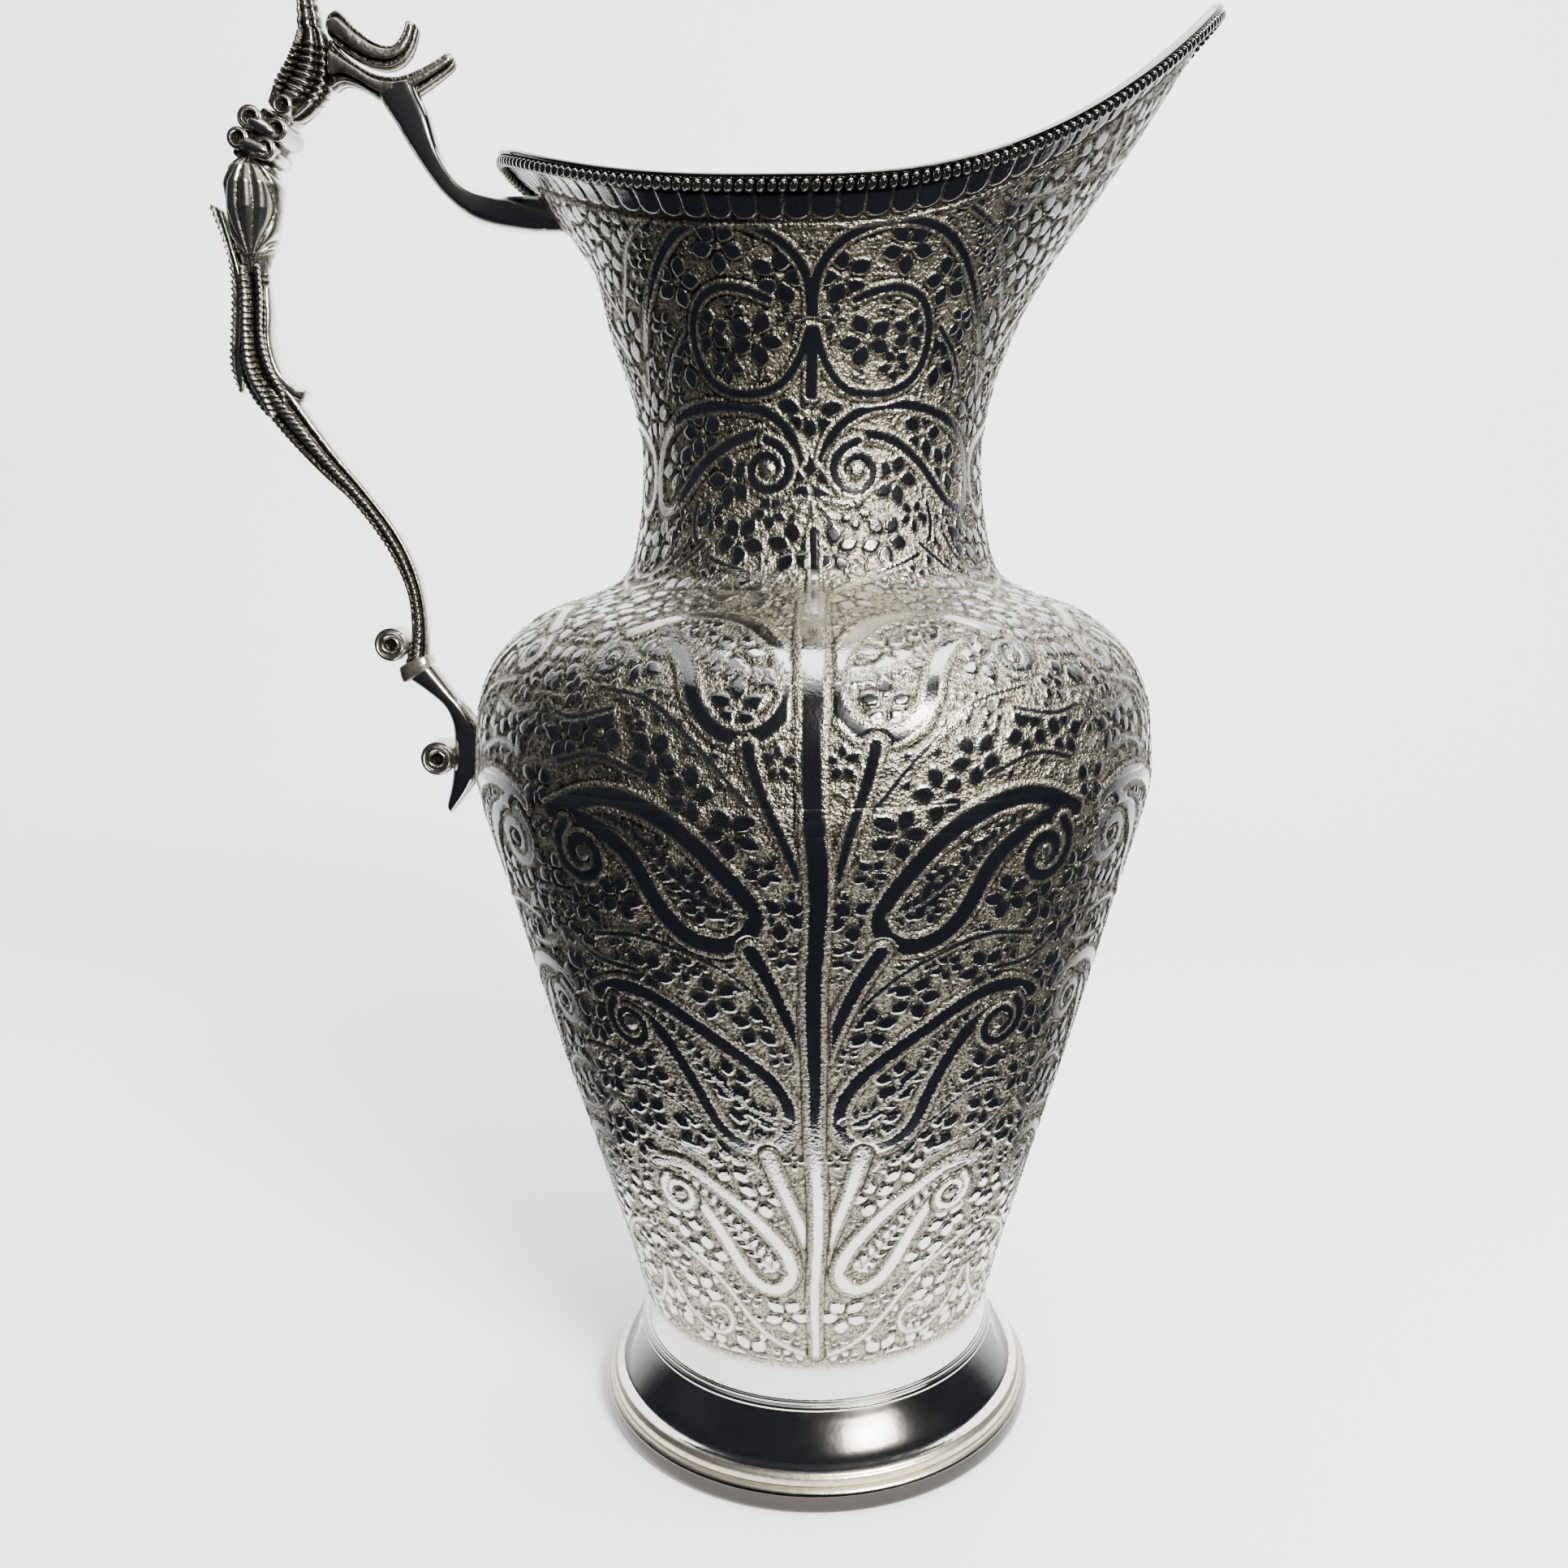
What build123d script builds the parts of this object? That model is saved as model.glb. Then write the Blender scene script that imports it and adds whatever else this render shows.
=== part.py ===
from build123d import *
from math import cos, pi, sin
import os

# A footed silver-plated water pitcher with a long spout and a cast scroll handle.
# The frame: millimetres, +Z up, the origin at the centre of the circle it stands on,
# the spout towards +X and the handle towards -X.

os.makedirs("parts", exist_ok=True)

# ---- Driving dimensions -------------------------------------------------------------

wall = 1.2                   # sheet of the two body shells and the foot

foot_radius = 50.0           # outside of the ring that it stands on
foot_ring_height = 5.4       # rolled ring under the foot
foot_ring_width = 3.4        # how far the rolled ring reaches in from its outside
foot_height = 18.4           # table to the underside of the lower body
foot_step = 1.6              # outside of the ring to the foot's sheet where it meets the ring
foot_seat_width = 6.0        # flange inside the foot's top that the body sits on
waist_radius = 40.0          # lower body where it stands on the foot

belly_radius = 72.4          # widest part
belly_height = 150.0         # height of the joint between the two body shells
hoop_height = 5.0            # plain hoop that joins the two shells

neck_radius = 35.4           # narrowest part of the neck
neck_height = 213.0

rim_height = 257.4           # lowest point of the rim, at the sides
spout_height = 301.0         # tip of the spout
spout_reach = 81.6           # axis to the tip of the spout
heel_height = 273.0          # rim above the handle
heel_reach = 63.5            # axis to the rim above the handle
spout_sweep = 2.2            # power of the rise from the sides to the spout
heel_sweep = 2.45            # power of the rise from the sides to the heel

bead_height = 1.9            # row of beads under the rolled edge
bead_depth = 1.5
roll_height = 1.3            # rolled edge on top of the beads
roll_overhang = 0.5          # how far the rolled edge stands inside the wall

upper_fix_height = 263.0     # middle of the handle's upper joint
lower_fix_height = 152.0     # middle of the handle's lower joint

arm_width = 8.0              # the handle's pieces, measured across the handle
crown_width = 8.6
leaf_width = 7.6
finial_width = 6.4
collar_width = 10.4
bulb_radius = 6.2
strip_width = 5.2
lobe_width = 8.4
stem_width = 6.2
volute_width = 7.4
bracket_width = 8.0
scroll_width = 8.6

volute_radius = 3.5          # curl at the foot of the stem
scroll_radius = 3.6          # curl on the lower bracket
eye_radius = 1.4             # dimple in each curl
eye_depth = 1.0

edge_round = 0.9             # rounding along the edges of the cast pieces
thin_round = 0.5             # the same on the leaves, the finial and other thin pieces
solder_height = 0.7          # how far a fillet of solder stands out of the sheet
solder_margin = 1.6          # how far it spreads round what it holds

# ---- Profiles of the two body shells ------------------------------------------------

seam_low = belly_height - hoop_height / 2
seam_high = belly_height + hoop_height / 2

# Each profile is (share of the way up, share of the way from the first radius to the last).
LOWER_PROFILE = [(0, 0), (0.05, -0.006), (0.13, 0.06), (0.32, 0.262), (0.52, 0.49),
                 (0.7, 0.685), (0.865, 0.862), (0.94, 0.943), (1, 1)]
SHOULDER_PROFILE = [(0, 0), (0.207, 0.041), (0.364, 0.168), (0.488, 0.416), (0.557, 0.727),
                    (0.63, 0.892), (0.785, 0.968), (1, 1)]
MOUTH_PROFILE = [(0, 0), (0.136, 0.035), (0.284, 0.128), (0.443, 0.292), (0.602, 0.506),
                 (0.761, 0.714), (1, 1), (1.09, 1.1)]


def profile_points(shares, low, high):
    """Points of a profile between two (radius, height) ends."""
    (low_radius, low_height), (high_radius, high_height) = low, high
    return [(low_radius + out * (high_radius - low_radius), 0, low_height + up * (high_height - low_height))
            for up, out in shares]


def lower_curve():
    points = profile_points(LOWER_PROFILE, (waist_radius, foot_height), (belly_radius, seam_low))
    return Spline(*points, tangents=[(0, 0, 1), (0.15, 0, 1)])


def shoulder_curve():
    points = profile_points(SHOULDER_PROFILE, (belly_radius, seam_high), (neck_radius, neck_height))
    return Spline(*points, tangents=[(0, 0, 1), (0, 0, 1)])


def mouth_curve():
    points = profile_points(MOUTH_PROFILE, (neck_radius, neck_height), (spout_reach, spout_height))
    return Spline(*points, tangents=[(0, 0, 1), (1, 0, 1.6)])


def inset(curve, gap, count=30):
    """The same curve moved towards the axis by a gap, square to itself."""
    points = []
    for i in range(count + 1):
        along = curve.tangent_at(i / count)
        points.append(curve.position_at(i / count) + Vector(-along.Z, 0, along.X) * gap)
    return Spline(*points)


def spin(*edges):
    """Spin a closed half profile about the vertical axis."""
    return revolve(make_face(edges), Axis.Z)


def band(curve, thickness):
    """Sheet of one thickness inside a profile."""
    inner = inset(curve, thickness)
    return spin(curve, Line(curve @ 1, inner @ 1), inner, Line(inner @ 0, curve @ 0))


def vessel_envelope():
    """Everything inside the outside of the body shells, used to trim what is soldered on them."""
    lower, shoulder, mouth = lower_curve(), shoulder_curve(), mouth_curve()
    top, bottom = mouth @ 1, lower @ 0
    axis_top, axis_bottom = (0, 0, top.Z), (0, 0, bottom.Z)
    hoop = Line(lower @ 1, shoulder @ 0)
    return spin(lower, hoop, shoulder, mouth, Line(top, axis_top), Line(axis_top, axis_bottom),
                Line(axis_bottom, bottom))


# ---- Rim ----------------------------------------------------------------------------

def rim_line(reach):
    """Height of the rim above a point on the handle-to-spout line."""
    if reach > 0:
        return rim_height + (spout_height - rim_height) * (reach / spout_reach) ** spout_sweep
    return rim_height + (heel_height - rim_height) * (-reach / heel_reach) ** heel_sweep


def rim_height_at(curve, turn):
    """Height where the mouth's profile meets the rim's line, a turn away from the spout."""
    low, high = 0.0, 1.0
    for _ in range(40):
        middle = (low + high) / 2
        at = curve.position_at(middle)
        if at.Z < rim_line(at.X * cos(turn)):
            low = middle
        else:
            high = middle
    return curve.position_at(low).Z


def above_rim(lift=0.0, steps=28):
    """Everything more than a lift above the rim, whose edge lies level from inside to outside."""
    mouth = mouth_curve()
    blocks = []
    for side in (1, -1):
        rails = []
        for radius in (neck_radius / 2, spout_reach * 1.3):
            points = []
            for i in range(steps + 1):
                turn = side * pi * i / steps
                height = rim_height_at(mouth, turn) + lift
                points.append((radius * cos(turn), radius * sin(turn), height))
            rails.append(Spline(*points))
        face = Face.make_surface_from_curves(*rails)
        blocks.append(extrude(face, amount=spout_height, dir=(0, 0, 1)))
    return blocks[0] + blocks[1]


def rim_strip(low, high, inner, outer):
    """Strip along the rim: from one lift to another, and from inside to outside of the sheet."""
    mouth = mouth_curve()
    inside, outside = inset(mouth, inner), inset(mouth, -outer)
    ring = spin(outside, Line(outside @ 1, inside @ 1), inside, Line(inside @ 0, outside @ 0))
    return (ring & above_rim(low)) - above_rim(high)


# ---- Body, foot and rim pieces ------------------------------------------------------

pieces = {}
envelope = vessel_envelope()

lower_sheet = band(lower_curve(), wall)
lower_floor = Cylinder(waist_radius - wall / 2, wall, align=(Align.CENTER, Align.CENTER, Align.MIN))
hoop_block = Pos(0, 0, belly_height) * Cylinder(belly_radius, hoop_height)
pieces["lower_body"] = lower_sheet + Pos(0, 0, foot_height) * lower_floor - hoop_block
pieces["belly_hoop"] = hoop_block - Pos(0, 0, belly_height) * Cylinder(belly_radius - wall, hoop_height)

upper_sheet = band(shoulder_curve(), wall) + band(mouth_curve(), wall)
pieces["upper_body"] = upper_sheet - above_rim()

pieces["rim_beading"] = rim_strip(-bead_height, 0, 0, bead_depth)
pieces["rolled_rim"] = rim_strip(0, roll_height, wall + roll_overhang, bead_depth)

foot_flare = foot_radius - foot_step - waist_radius
dome_curve = Spline((waist_radius + foot_flare, 0, foot_ring_height),
                    (waist_radius + 0.7 * foot_flare, 0, foot_height * 0.54),
                    (waist_radius + 0.28 * foot_flare, 0, foot_height * 0.81),
                    (waist_radius, 0, foot_height))
foot_seat = Cylinder(waist_radius, wall, align=(Align.CENTER, Align.CENTER, Align.MAX))
foot_seat -= Cylinder(waist_radius - foot_seat_width, 3 * wall)
dome_sheet = band(dome_curve, wall) + Pos(0, 0, foot_height) * foot_seat
below_seat = Pos(0, 0, foot_ring_height) * Cylinder(foot_radius, foot_height - foot_ring_height,
                                                    align=(Align.CENTER, Align.CENTER, Align.MIN))
pieces["foot_dome"] = dome_sheet & below_seat

ring_section = RectangleRounded(foot_ring_width, foot_ring_height, foot_ring_width * 0.3)
ring_place = Pos(foot_radius - foot_ring_width / 2, foot_ring_height / 2)
pieces["foot_ring"] = revolve(Plane.XZ * ring_place * ring_section, Axis.Z)

fillet_outline = [(waist_radius - solder_height, foot_height + solder_height),
                  (waist_radius + 0.3 * solder_height, foot_height + solder_height),
                  (waist_radius + 1.4 * solder_height, foot_height - 1.4 * solder_height),
                  (waist_radius - solder_height, foot_height - 1.4 * solder_height)]
foot_fillet = revolve(Plane.XZ * make_face(Polyline(*fillet_outline, close=True)), Axis.Z)
pieces["foot_solder"] = foot_fillet - pieces["foot_dome"] - envelope

# ---- Handle -------------------------------------------------------------------------

# The handle's outlines are drawn as (reach from the axis, height above the table), for the
# fixings below. place() carries a drawn point to where the vessel's own fixings are.
DRAWN_LOWER_FIX = (72.4, 152.0)
DRAWN_UPPER_FIX = (56.3, 263.0)


def mouth_radius(height):
    """Radius of the mouth at a height, straight between the points of its profile."""
    share = (height - neck_height) / (spout_height - neck_height)
    for (low, low_out), (high, high_out) in zip(MOUTH_PROFILE, MOUTH_PROFILE[1:]):
        if low <= share <= high:
            out = low_out + (high_out - low_out) * (share - low) / (high - low)
            return neck_radius + out * (spout_reach - neck_radius)
    raise ValueError("the upper fixing isn't on the mouth")


upper_fix_reach = mouth_radius(upper_fix_height)


def place(point):
    """Point of the handle's drawing, moved with the line between the vessel's two fixings."""
    reach, height = point
    share = (height - DRAWN_LOWER_FIX[1]) / (DRAWN_UPPER_FIX[1] - DRAWN_LOWER_FIX[1])
    drawn = DRAWN_LOWER_FIX[0] + share * (DRAWN_UPPER_FIX[0] - DRAWN_LOWER_FIX[0])
    actual = belly_radius + share * (upper_fix_reach - belly_radius)
    rise = upper_fix_height - lower_fix_height
    return Vector(-(reach - drawn + actual), 0, lower_fix_height + share * rise)


def outline(outer_side, inner_side, width):
    """Flat piece between two edges drawn from the same end, of one width across the handle."""
    outer = Spline(*[place(point) for point in outer_side])
    inner = Spline(*[place(point) for point in inner_side])
    face = make_face([outer, Line(outer @ 1, inner @ 1), inner, Line(inner @ 0, outer @ 0)])
    return extrude(face, amount=width / 2, dir=(0, 1, 0), both=True)


def casting(outer_side, inner_side, width, rounding=edge_round):
    """The same with its long edges rounded."""
    solid = outline(outer_side, inner_side, width)
    return fillet([edge for edge in solid.edges() if edge.geom_type == GeomType.BSPLINE], rounding)


def curl(centre, radius, width):
    """Round curl with a dimple in each side."""
    roll = Cylinder(radius, width)
    for side in (-1, 1):
        roll -= Pos(0, 0, side * width / 2) * Cylinder(eye_radius, 2 * eye_depth)
    return Pos(place(centre)) * Rot(90, 0, 0) * roll


def turned(start, end, shares):
    """Round piece turned about the line between two drawn points: (share of length, radius)."""
    base, tip = place(start), place(end)
    length = (tip - base).length
    side = Spline(*[(radius, 0, share * length) for share, radius in shares])
    axis_base, axis_tip = (0, 0, 0), (0, 0, length)
    solid = spin(side, Line(side @ 1, axis_tip), Line(axis_tip, axis_base), Line(axis_base, side @ 0))
    return Plane(origin=base, z_dir=tip - base).location * solid


arm = casting([(44, 265.2), (56.2, 266), (65, 266.8), (71.4, 269.2), (75.2, 275), (77.4, 282.5), (79.2, 286.7)],
              [(44, 260), (56, 260.3), (68.5, 262.5), (75, 267), (80.6, 274.5), (84.4, 281), (86.8, 284.8)],
              arm_width)
pieces["handle_arm"] = arm - envelope

lower_leaf = casting([(98, 286.4), (94.5, 288.4), (90.6, 287.4), (86.4, 285), (82.6, 285.2), (79, 287.2),
                      (74.2, 290.8)],
                     [(97.2, 298.4), (94.2, 294.4), (89, 290.9), (84, 289.9), (79.4, 290.8), (74.4, 292.6)],
                     leaf_width, thin_round)
pieces["lower_leaf"] = lower_leaf - arm

upper_leaf = casting([(97.6, 300.6), (94.8, 302.4), (91.8, 299.6), (88, 296.6), (84.4, 295.8), (82, 297.4),
                      (80.6, 300)],
                     [(97.4, 297.6), (93.4, 294), (88.4, 291.6), (84, 291.6), (80.8, 294.4), (79, 299)],
                     leaf_width, thin_round)
pieces["upper_leaf"] = upper_leaf - lower_leaf

crown = casting([(110.6, 284.3), (108.8, 289.2), (105.6, 293.8), (103.3, 299)],
                [(104.7, 281), (101.6, 282.9), (98.2, 286.2), (97, 290), (97, 295), (98.3, 299.8)],
                crown_width)
pieces["handle_crown"] = crown - lower_leaf - upper_leaf

finial = casting([(103.3, 299), (103.1, 304), (104.4, 309.5), (108.2, 314.2), (112.6, 315.6)],
                 [(98.3, 299.8), (99.4, 304.5), (100.6, 310.5), (104.6, 316.2), (112.2, 318.4)],
                 finial_width, thin_round)
pieces["handle_finial"] = finial - crown - upper_leaf

collar = casting([(110.6, 284.3), (114.9, 281.6), (116.3, 278.2), (119.4, 275)],
                 [(104.7, 281), (106.4, 277.6), (107.6, 274.9), (109.2, 272)], collar_width)
pieces["grip_collar"] = collar - crown

bulb = turned((114.2, 274.6), (115.6, 251.8), [(0, 5.0), (0.25, bulb_radius), (0.45, 0.97 * bulb_radius),
                                               (0.75, 3.9), (1, 2.4)])
pieces["grip_bulb"] = bulb - collar

strip = casting([(124.6, 266.4), (122.9, 262), (121, 256), (120.6, 250), (121.4, 241), (122.4, 233),
                 (122.2, 227)],
                [(121.2, 264.9), (119.6, 259.6), (118.2, 254), (118, 250), (118.6, 241), (119.7, 233),
                 (119.6, 226.2)], strip_width, thin_round)
pieces["grip_strip"] = strip - bulb

lobe = casting([(119, 252.4), (119, 247), (119.4, 240), (120.4, 233), (120, 226.3)],
               [(113.2, 252.4), (113.1, 247), (113.3, 239.5), (112.6, 233.6), (109.2, 227.4)], lobe_width)
pieces["grip_lobe"] = lobe - bulb - strip

stem_foot = ((89.8, 169.2), (83.6, 172.4))
stem = casting([(119.4, 227.4), (111.7, 218.9), (104.9, 211.8), (98.7, 205.8), (93.7, 199.2), (90.1, 192.8),
                (87.7, 186), (87.2, 179.5), (87.9, 174.6), stem_foot[0]],
               [(109.8, 227.4), (101.9, 217.2), (95.8, 209.2), (89.6, 200.5), (86, 193.2), (84.1, 186),
                (83.4, 178.6), stem_foot[1]], stem_width)
pieces["handle_stem"] = stem - lobe - strip

volute = curl((91.3, 175.3), volute_radius, volute_width)
pieces["stem_curl"] = volute - stem

bracket_top = ((89.6, 168.1), (83.5, 171.3))
braze = outline([stem_foot[0], bracket_top[0]], [stem_foot[1], bracket_top[1]], bracket_width)
pieces["handle_braze"] = braze - stem - volute

bracket = casting([bracket_top[0], (84.9, 165.4), (81, 162), (79.3, 158), (79.2, 153), (80.1, 145), (81.5, 139.6)],
                  [bracket_top[1], (79.4, 166.4), (75.6, 161), (71.6, 155.4), (71.4, 149.6), (75.6, 143.4),
                   (80.6, 137.6)], bracket_width, thin_round)
pieces["lower_bracket"] = bracket - envelope

scroll = curl((82.2, 150.4), scroll_radius, scroll_width)
pieces["bracket_curl"] = scroll - bracket


def solder(reach, height, tall, wide, held):
    """Thin fillet of solder on the vessel round the foot of a casting."""
    outside = inset(mouth_curve(), -solder_height)
    mouth_skin = spin(outside, Line(outside @ 1, (0, 0, (outside @ 1).Z)),
                      Line((0, 0, (outside @ 1).Z), (0, 0, (outside @ 0).Z)),
                      Line((0, 0, (outside @ 0).Z), outside @ 0))
    skin = mouth_skin + Cylinder(belly_radius + solder_height, 2 * neck_height - 2)
    patch = Plane.YZ * Pos(0, height) * RectangleRounded(wide, tall, tall * 0.3)
    return (extrude(patch, amount=-2 * reach) & skin) - envelope - held


pieces["upper_solder"] = solder(upper_fix_reach, upper_fix_height, 5.6 + 2 * solder_margin,
                                arm_width + 2 * solder_margin, arm)
pieces["lower_solder"] = solder(belly_radius, lower_fix_height, 9.0 + 2 * solder_margin,
                                bracket_width + 2 * solder_margin, bracket)

for name, solid in pieces.items():
    export_step(solid, "parts/" + name + ".step")
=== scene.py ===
import math

import bpy
import numpy as np
from mathutils import Matrix, Vector


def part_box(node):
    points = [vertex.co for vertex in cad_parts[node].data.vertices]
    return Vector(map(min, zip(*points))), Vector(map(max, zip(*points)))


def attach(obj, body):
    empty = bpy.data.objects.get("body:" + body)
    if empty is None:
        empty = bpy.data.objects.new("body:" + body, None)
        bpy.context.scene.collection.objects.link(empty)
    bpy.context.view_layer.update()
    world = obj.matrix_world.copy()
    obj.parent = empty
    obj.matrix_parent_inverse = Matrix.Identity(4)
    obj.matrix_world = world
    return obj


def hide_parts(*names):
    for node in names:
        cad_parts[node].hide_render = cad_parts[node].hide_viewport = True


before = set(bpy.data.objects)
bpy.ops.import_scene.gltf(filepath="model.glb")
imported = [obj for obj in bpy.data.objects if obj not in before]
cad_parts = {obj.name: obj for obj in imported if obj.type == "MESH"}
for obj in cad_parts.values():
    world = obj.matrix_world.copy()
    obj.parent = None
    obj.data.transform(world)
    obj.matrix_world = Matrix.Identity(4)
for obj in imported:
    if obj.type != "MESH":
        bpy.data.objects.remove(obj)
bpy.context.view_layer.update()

# ---- Room -------------------------------------------------------------------------
# The pitcher stands on a pale sweep of paper that rises behind it. The dark room in front is a
# painted dark reflection that only the polished silver sees; everything behind it is pale.


def colour(code):
    """Linear colour of an sRGB hex code: under 0.04045 divided by 12.92, else the 2.4 power."""
    share = np.array([int(code[i:i + 2], 16) / 255 for i in (1, 3, 5)])
    linear = np.where(share <= 0.04045, share / 12.92, ((share + 0.055) / 1.055) ** 2.4)
    return (*linear.tolist(), 1.0)


def add(tree, kind, inputs=None, **settings):
    """Add one node; inputs are numbers, colours or the output sockets to link to."""
    made = tree.nodes.new(kind)
    for key, value in settings.items():
        setattr(made, key, value)
    for key, value in (inputs or {}).items():
        if isinstance(value, bpy.types.NodeSocket):
            tree.links.new(value, made.inputs[key])
        else:
            made.inputs[key].default_value = value
    return made


def blank_material(name):
    """Material with only its output node and a shader, both returned with the tree."""
    made = bpy.data.materials.new(name)
    made.use_nodes = True
    tree = made.node_tree
    tree.nodes.clear()
    shader = add(tree, "ShaderNodeBsdfPrincipled")
    add(tree, "ShaderNodeOutputMaterial", {"Surface": shader.outputs[0]})
    return made, tree, shader


def sheet_faces(rows, cols, wrap):
    """Quads of a grid of points, the last column joined to the first when wrap is set."""
    across = np.arange(cols if wrap else cols - 1)
    beside = (across + 1) % cols
    start = np.arange(rows - 1)[:, None] * cols
    return np.stack([start + across, start + beside, start + cols + beside, start + cols + across],
                    axis=-1).reshape(-1, 4)


def make_object(name, points, faces, material, marks=None, inward=False):
    """Smooth mesh from points in mm and arrays of faces, turned so that its faces look outward.

    They look outward when the volume summed over the faces about their middle is positive.
    """
    points = np.asarray(points, float).reshape(-1, 3) * 0.001
    corners = np.concatenate([f.ravel() for f in faces])
    sizes = np.concatenate([np.full(len(f), f.shape[1]) for f in faces])
    volume = 0.0
    middle = points.mean(0)
    for f in faces:
        a, b, c, d = (points[f[:, k]] - middle for k in (0, 1, 2, -1))
        volume += np.einsum("ij,ij->", a, np.cross(b, c) + np.cross(c, d))
    if (volume < 0) != inward:
        corners = np.concatenate([f[:, ::-1].ravel() for f in faces])
    mesh = bpy.data.meshes.new(name)
    mesh.vertices.add(len(points))
    mesh.vertices.foreach_set("co", points.ravel())
    mesh.loops.add(len(corners))
    mesh.loops.foreach_set("vertex_index", corners.astype(np.int32))
    mesh.polygons.add(len(sizes))
    mesh.polygons.foreach_set("loop_start", (np.cumsum(sizes) - sizes).astype(np.int32))
    mesh.update(calc_edges=True)
    mesh.polygons.foreach_set("use_smooth", np.ones(len(sizes), bool))
    for key, values in (marks or {}).items():
        layer = mesh.attributes.new(key, "FLOAT", "POINT")
        layer.data.foreach_set("value", np.asarray(values, np.float32).ravel())
    mesh.materials.append(material)
    made = bpy.data.objects.new(name, mesh)
    bpy.context.scene.collection.objects.link(made)
    return made


# Matt pressed paper: pale and soft, a little cloudy, with hardly any shine.
paper, tree, shader = blank_material("matt_paper")
coords = add(tree, "ShaderNodeTexCoord")
cloud = add(tree, "ShaderNodeTexNoise", {"Vector": coords.outputs["Object"], "Scale": 4.0, "Detail": 3.0})
tone = add(tree, "ShaderNodeMix", {"Factor": cloud.outputs["Fac"], "A": colour("#f4f5fa"),
                                   "B": colour("#fbfbfd")}, data_type="RGBA")
tree.links.new(tone.outputs["Result"], shader.inputs["Base Color"])
shader.inputs["Roughness"].default_value = 0.9
shader.inputs["Specular IOR Level"].default_value = 0.2

SWEEP_BACK, SWEEP_BEND, SWEEP_HALF = 420.0, 380.0, 1150.0
bend = np.linspace(0, math.pi / 2, 33)
sweep_side = np.concatenate([
    [(-2600, 0), (-900, 0), (-300, 0), (100, 0)],
    np.stack([SWEEP_BACK + SWEEP_BEND * np.sin(bend), SWEEP_BEND * (1 - np.cos(bend))], -1),
    [(SWEEP_BACK + SWEEP_BEND, 1500)]])
sweep_across = np.linspace(-SWEEP_HALF, SWEEP_HALF, 9)
sweep = np.stack([np.broadcast_to(sweep_across, (len(sweep_side), 9)),
                  np.repeat(sweep_side[:, :1], 9, 1), np.repeat(sweep_side[:, 1:], 9, 1)], -1)
floor = make_object("paper_sweep", sweep, [sheet_faces(len(sweep_side), 9, False)[:, ::-1]], paper,
                    inward=True)

# Painted dark reflection: black card with no shine at all, lying on the floor and standing as a screen
# round the table, seen by glossy rays alone, so only the silver shows it. Behind, the mark "fade" takes
# it to the pale of the paper.
shade, tree, shader = blank_material("painted_dark_reflection")
coords = add(tree, "ShaderNodeTexCoord")
cloud = add(tree, "ShaderNodeTexNoise", {"Vector": coords.outputs["Object"], "Scale": 6.0})
tone = add(tree, "ShaderNodeMix", {"Factor": cloud.outputs["Fac"], "A": colour("#050608"),
                                   "B": colour("#111319")}, data_type="RGBA")
fade = add(tree, "ShaderNodeAttribute", attribute_name="fade")
faded = add(tree, "ShaderNodeMix", {"Factor": fade.outputs["Fac"], "A": tone.outputs["Result"],
                                    "B": colour("#dfe0e4")}, data_type="RGBA")
tree.links.new(faded.outputs["Result"], shader.inputs["Base Color"])
shader.inputs["Roughness"].default_value = 1.0
shader.inputs["Specular IOR Level"].default_value = 0.0
CARD_START, CARD_END, SCREEN_AWAY, SCREEN_TALL = 106.0, 1500.0, 760.0, 1100.0
card_turn = np.linspace(-3.0, 3.0, 81)[None, :]
card_away = np.linspace(CARD_START, CARD_END, 24)[:, None]
screen_tall = np.linspace(0, SCREEN_TALL, 12)[:, None]
for name, away, tall, inward in (("painted_dark_reflection", card_away, 0.4, False),
                                 ("painted_dark_reflection_screen", SCREEN_AWAY, screen_tall, True)):
    spots = np.stack(np.broadcast_arrays(away * np.sin(card_turn), -away * np.cos(card_turn),
                                         tall + 0 * away), -1)
    share = np.clip((np.abs(card_turn) - 1.7) / 1.3, 0, 1)
    card = make_object(name, spots, [sheet_faces(len(spots), 81, False)], shade,
                       {"fade": share * share * (3 - 2 * share) + 0 * spots[..., 0]}, inward=inward)
    card.visible_camera = False
    card.visible_diffuse = False
    card.visible_shadow = False
    card.visible_transmission = False

# The room overhead and beyond: pale. Glossy rays alone see it dimmer and nearly black in front: a painted
# dark reflection.
world = bpy.data.worlds.new("pale_room")
bpy.context.scene.world = world
world.use_nodes = True
tree = world.node_tree
tree.nodes.clear()
coords = add(tree, "ShaderNodeTexCoord")
parts = add(tree, "ShaderNodeSeparateXYZ", {"Vector": coords.outputs["Generated"]})
flat = add(tree, "ShaderNodeVectorMath", {0: coords.outputs["Generated"], 1: (1.0, 1.0, 0.0)},
           operation="MULTIPLY")
unit = add(tree, "ShaderNodeVectorMath", {0: flat.outputs[0]}, operation="NORMALIZE")
ahead = add(tree, "ShaderNodeVectorMath", {0: unit.outputs[0], 1: (0.0, -1.0, 0.0)},
            operation="DOT_PRODUCT")
wide = add(tree, "ShaderNodeMapRange", {"Value": ahead.outputs["Value"], "From Min": -0.97,
                                        "From Max": -0.35},
           interpolation_type="SMOOTHSTEP")
tall = add(tree, "ShaderNodeMapRange", {"Value": parts.outputs["Z"], "From Min": 0.97, "From Max": 0.72},
           interpolation_type="SMOOTHSTEP")
dark = add(tree, "ShaderNodeMath", {0: wide.outputs[0], 1: tall.outputs[0]}, operation="MULTIPLY")
rays = add(tree, "ShaderNodeLightPath")
seen = add(tree, "ShaderNodeMath", {0: dark.outputs[0], 1: rays.outputs["Is Glossy Ray"]},
           operation="MULTIPLY")
room = add(tree, "ShaderNodeMix", {"Factor": seen.outputs[0], "A": colour("#e6e8ea"),
                                   "B": colour("#0a0b0e")}, data_type="RGBA")
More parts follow.
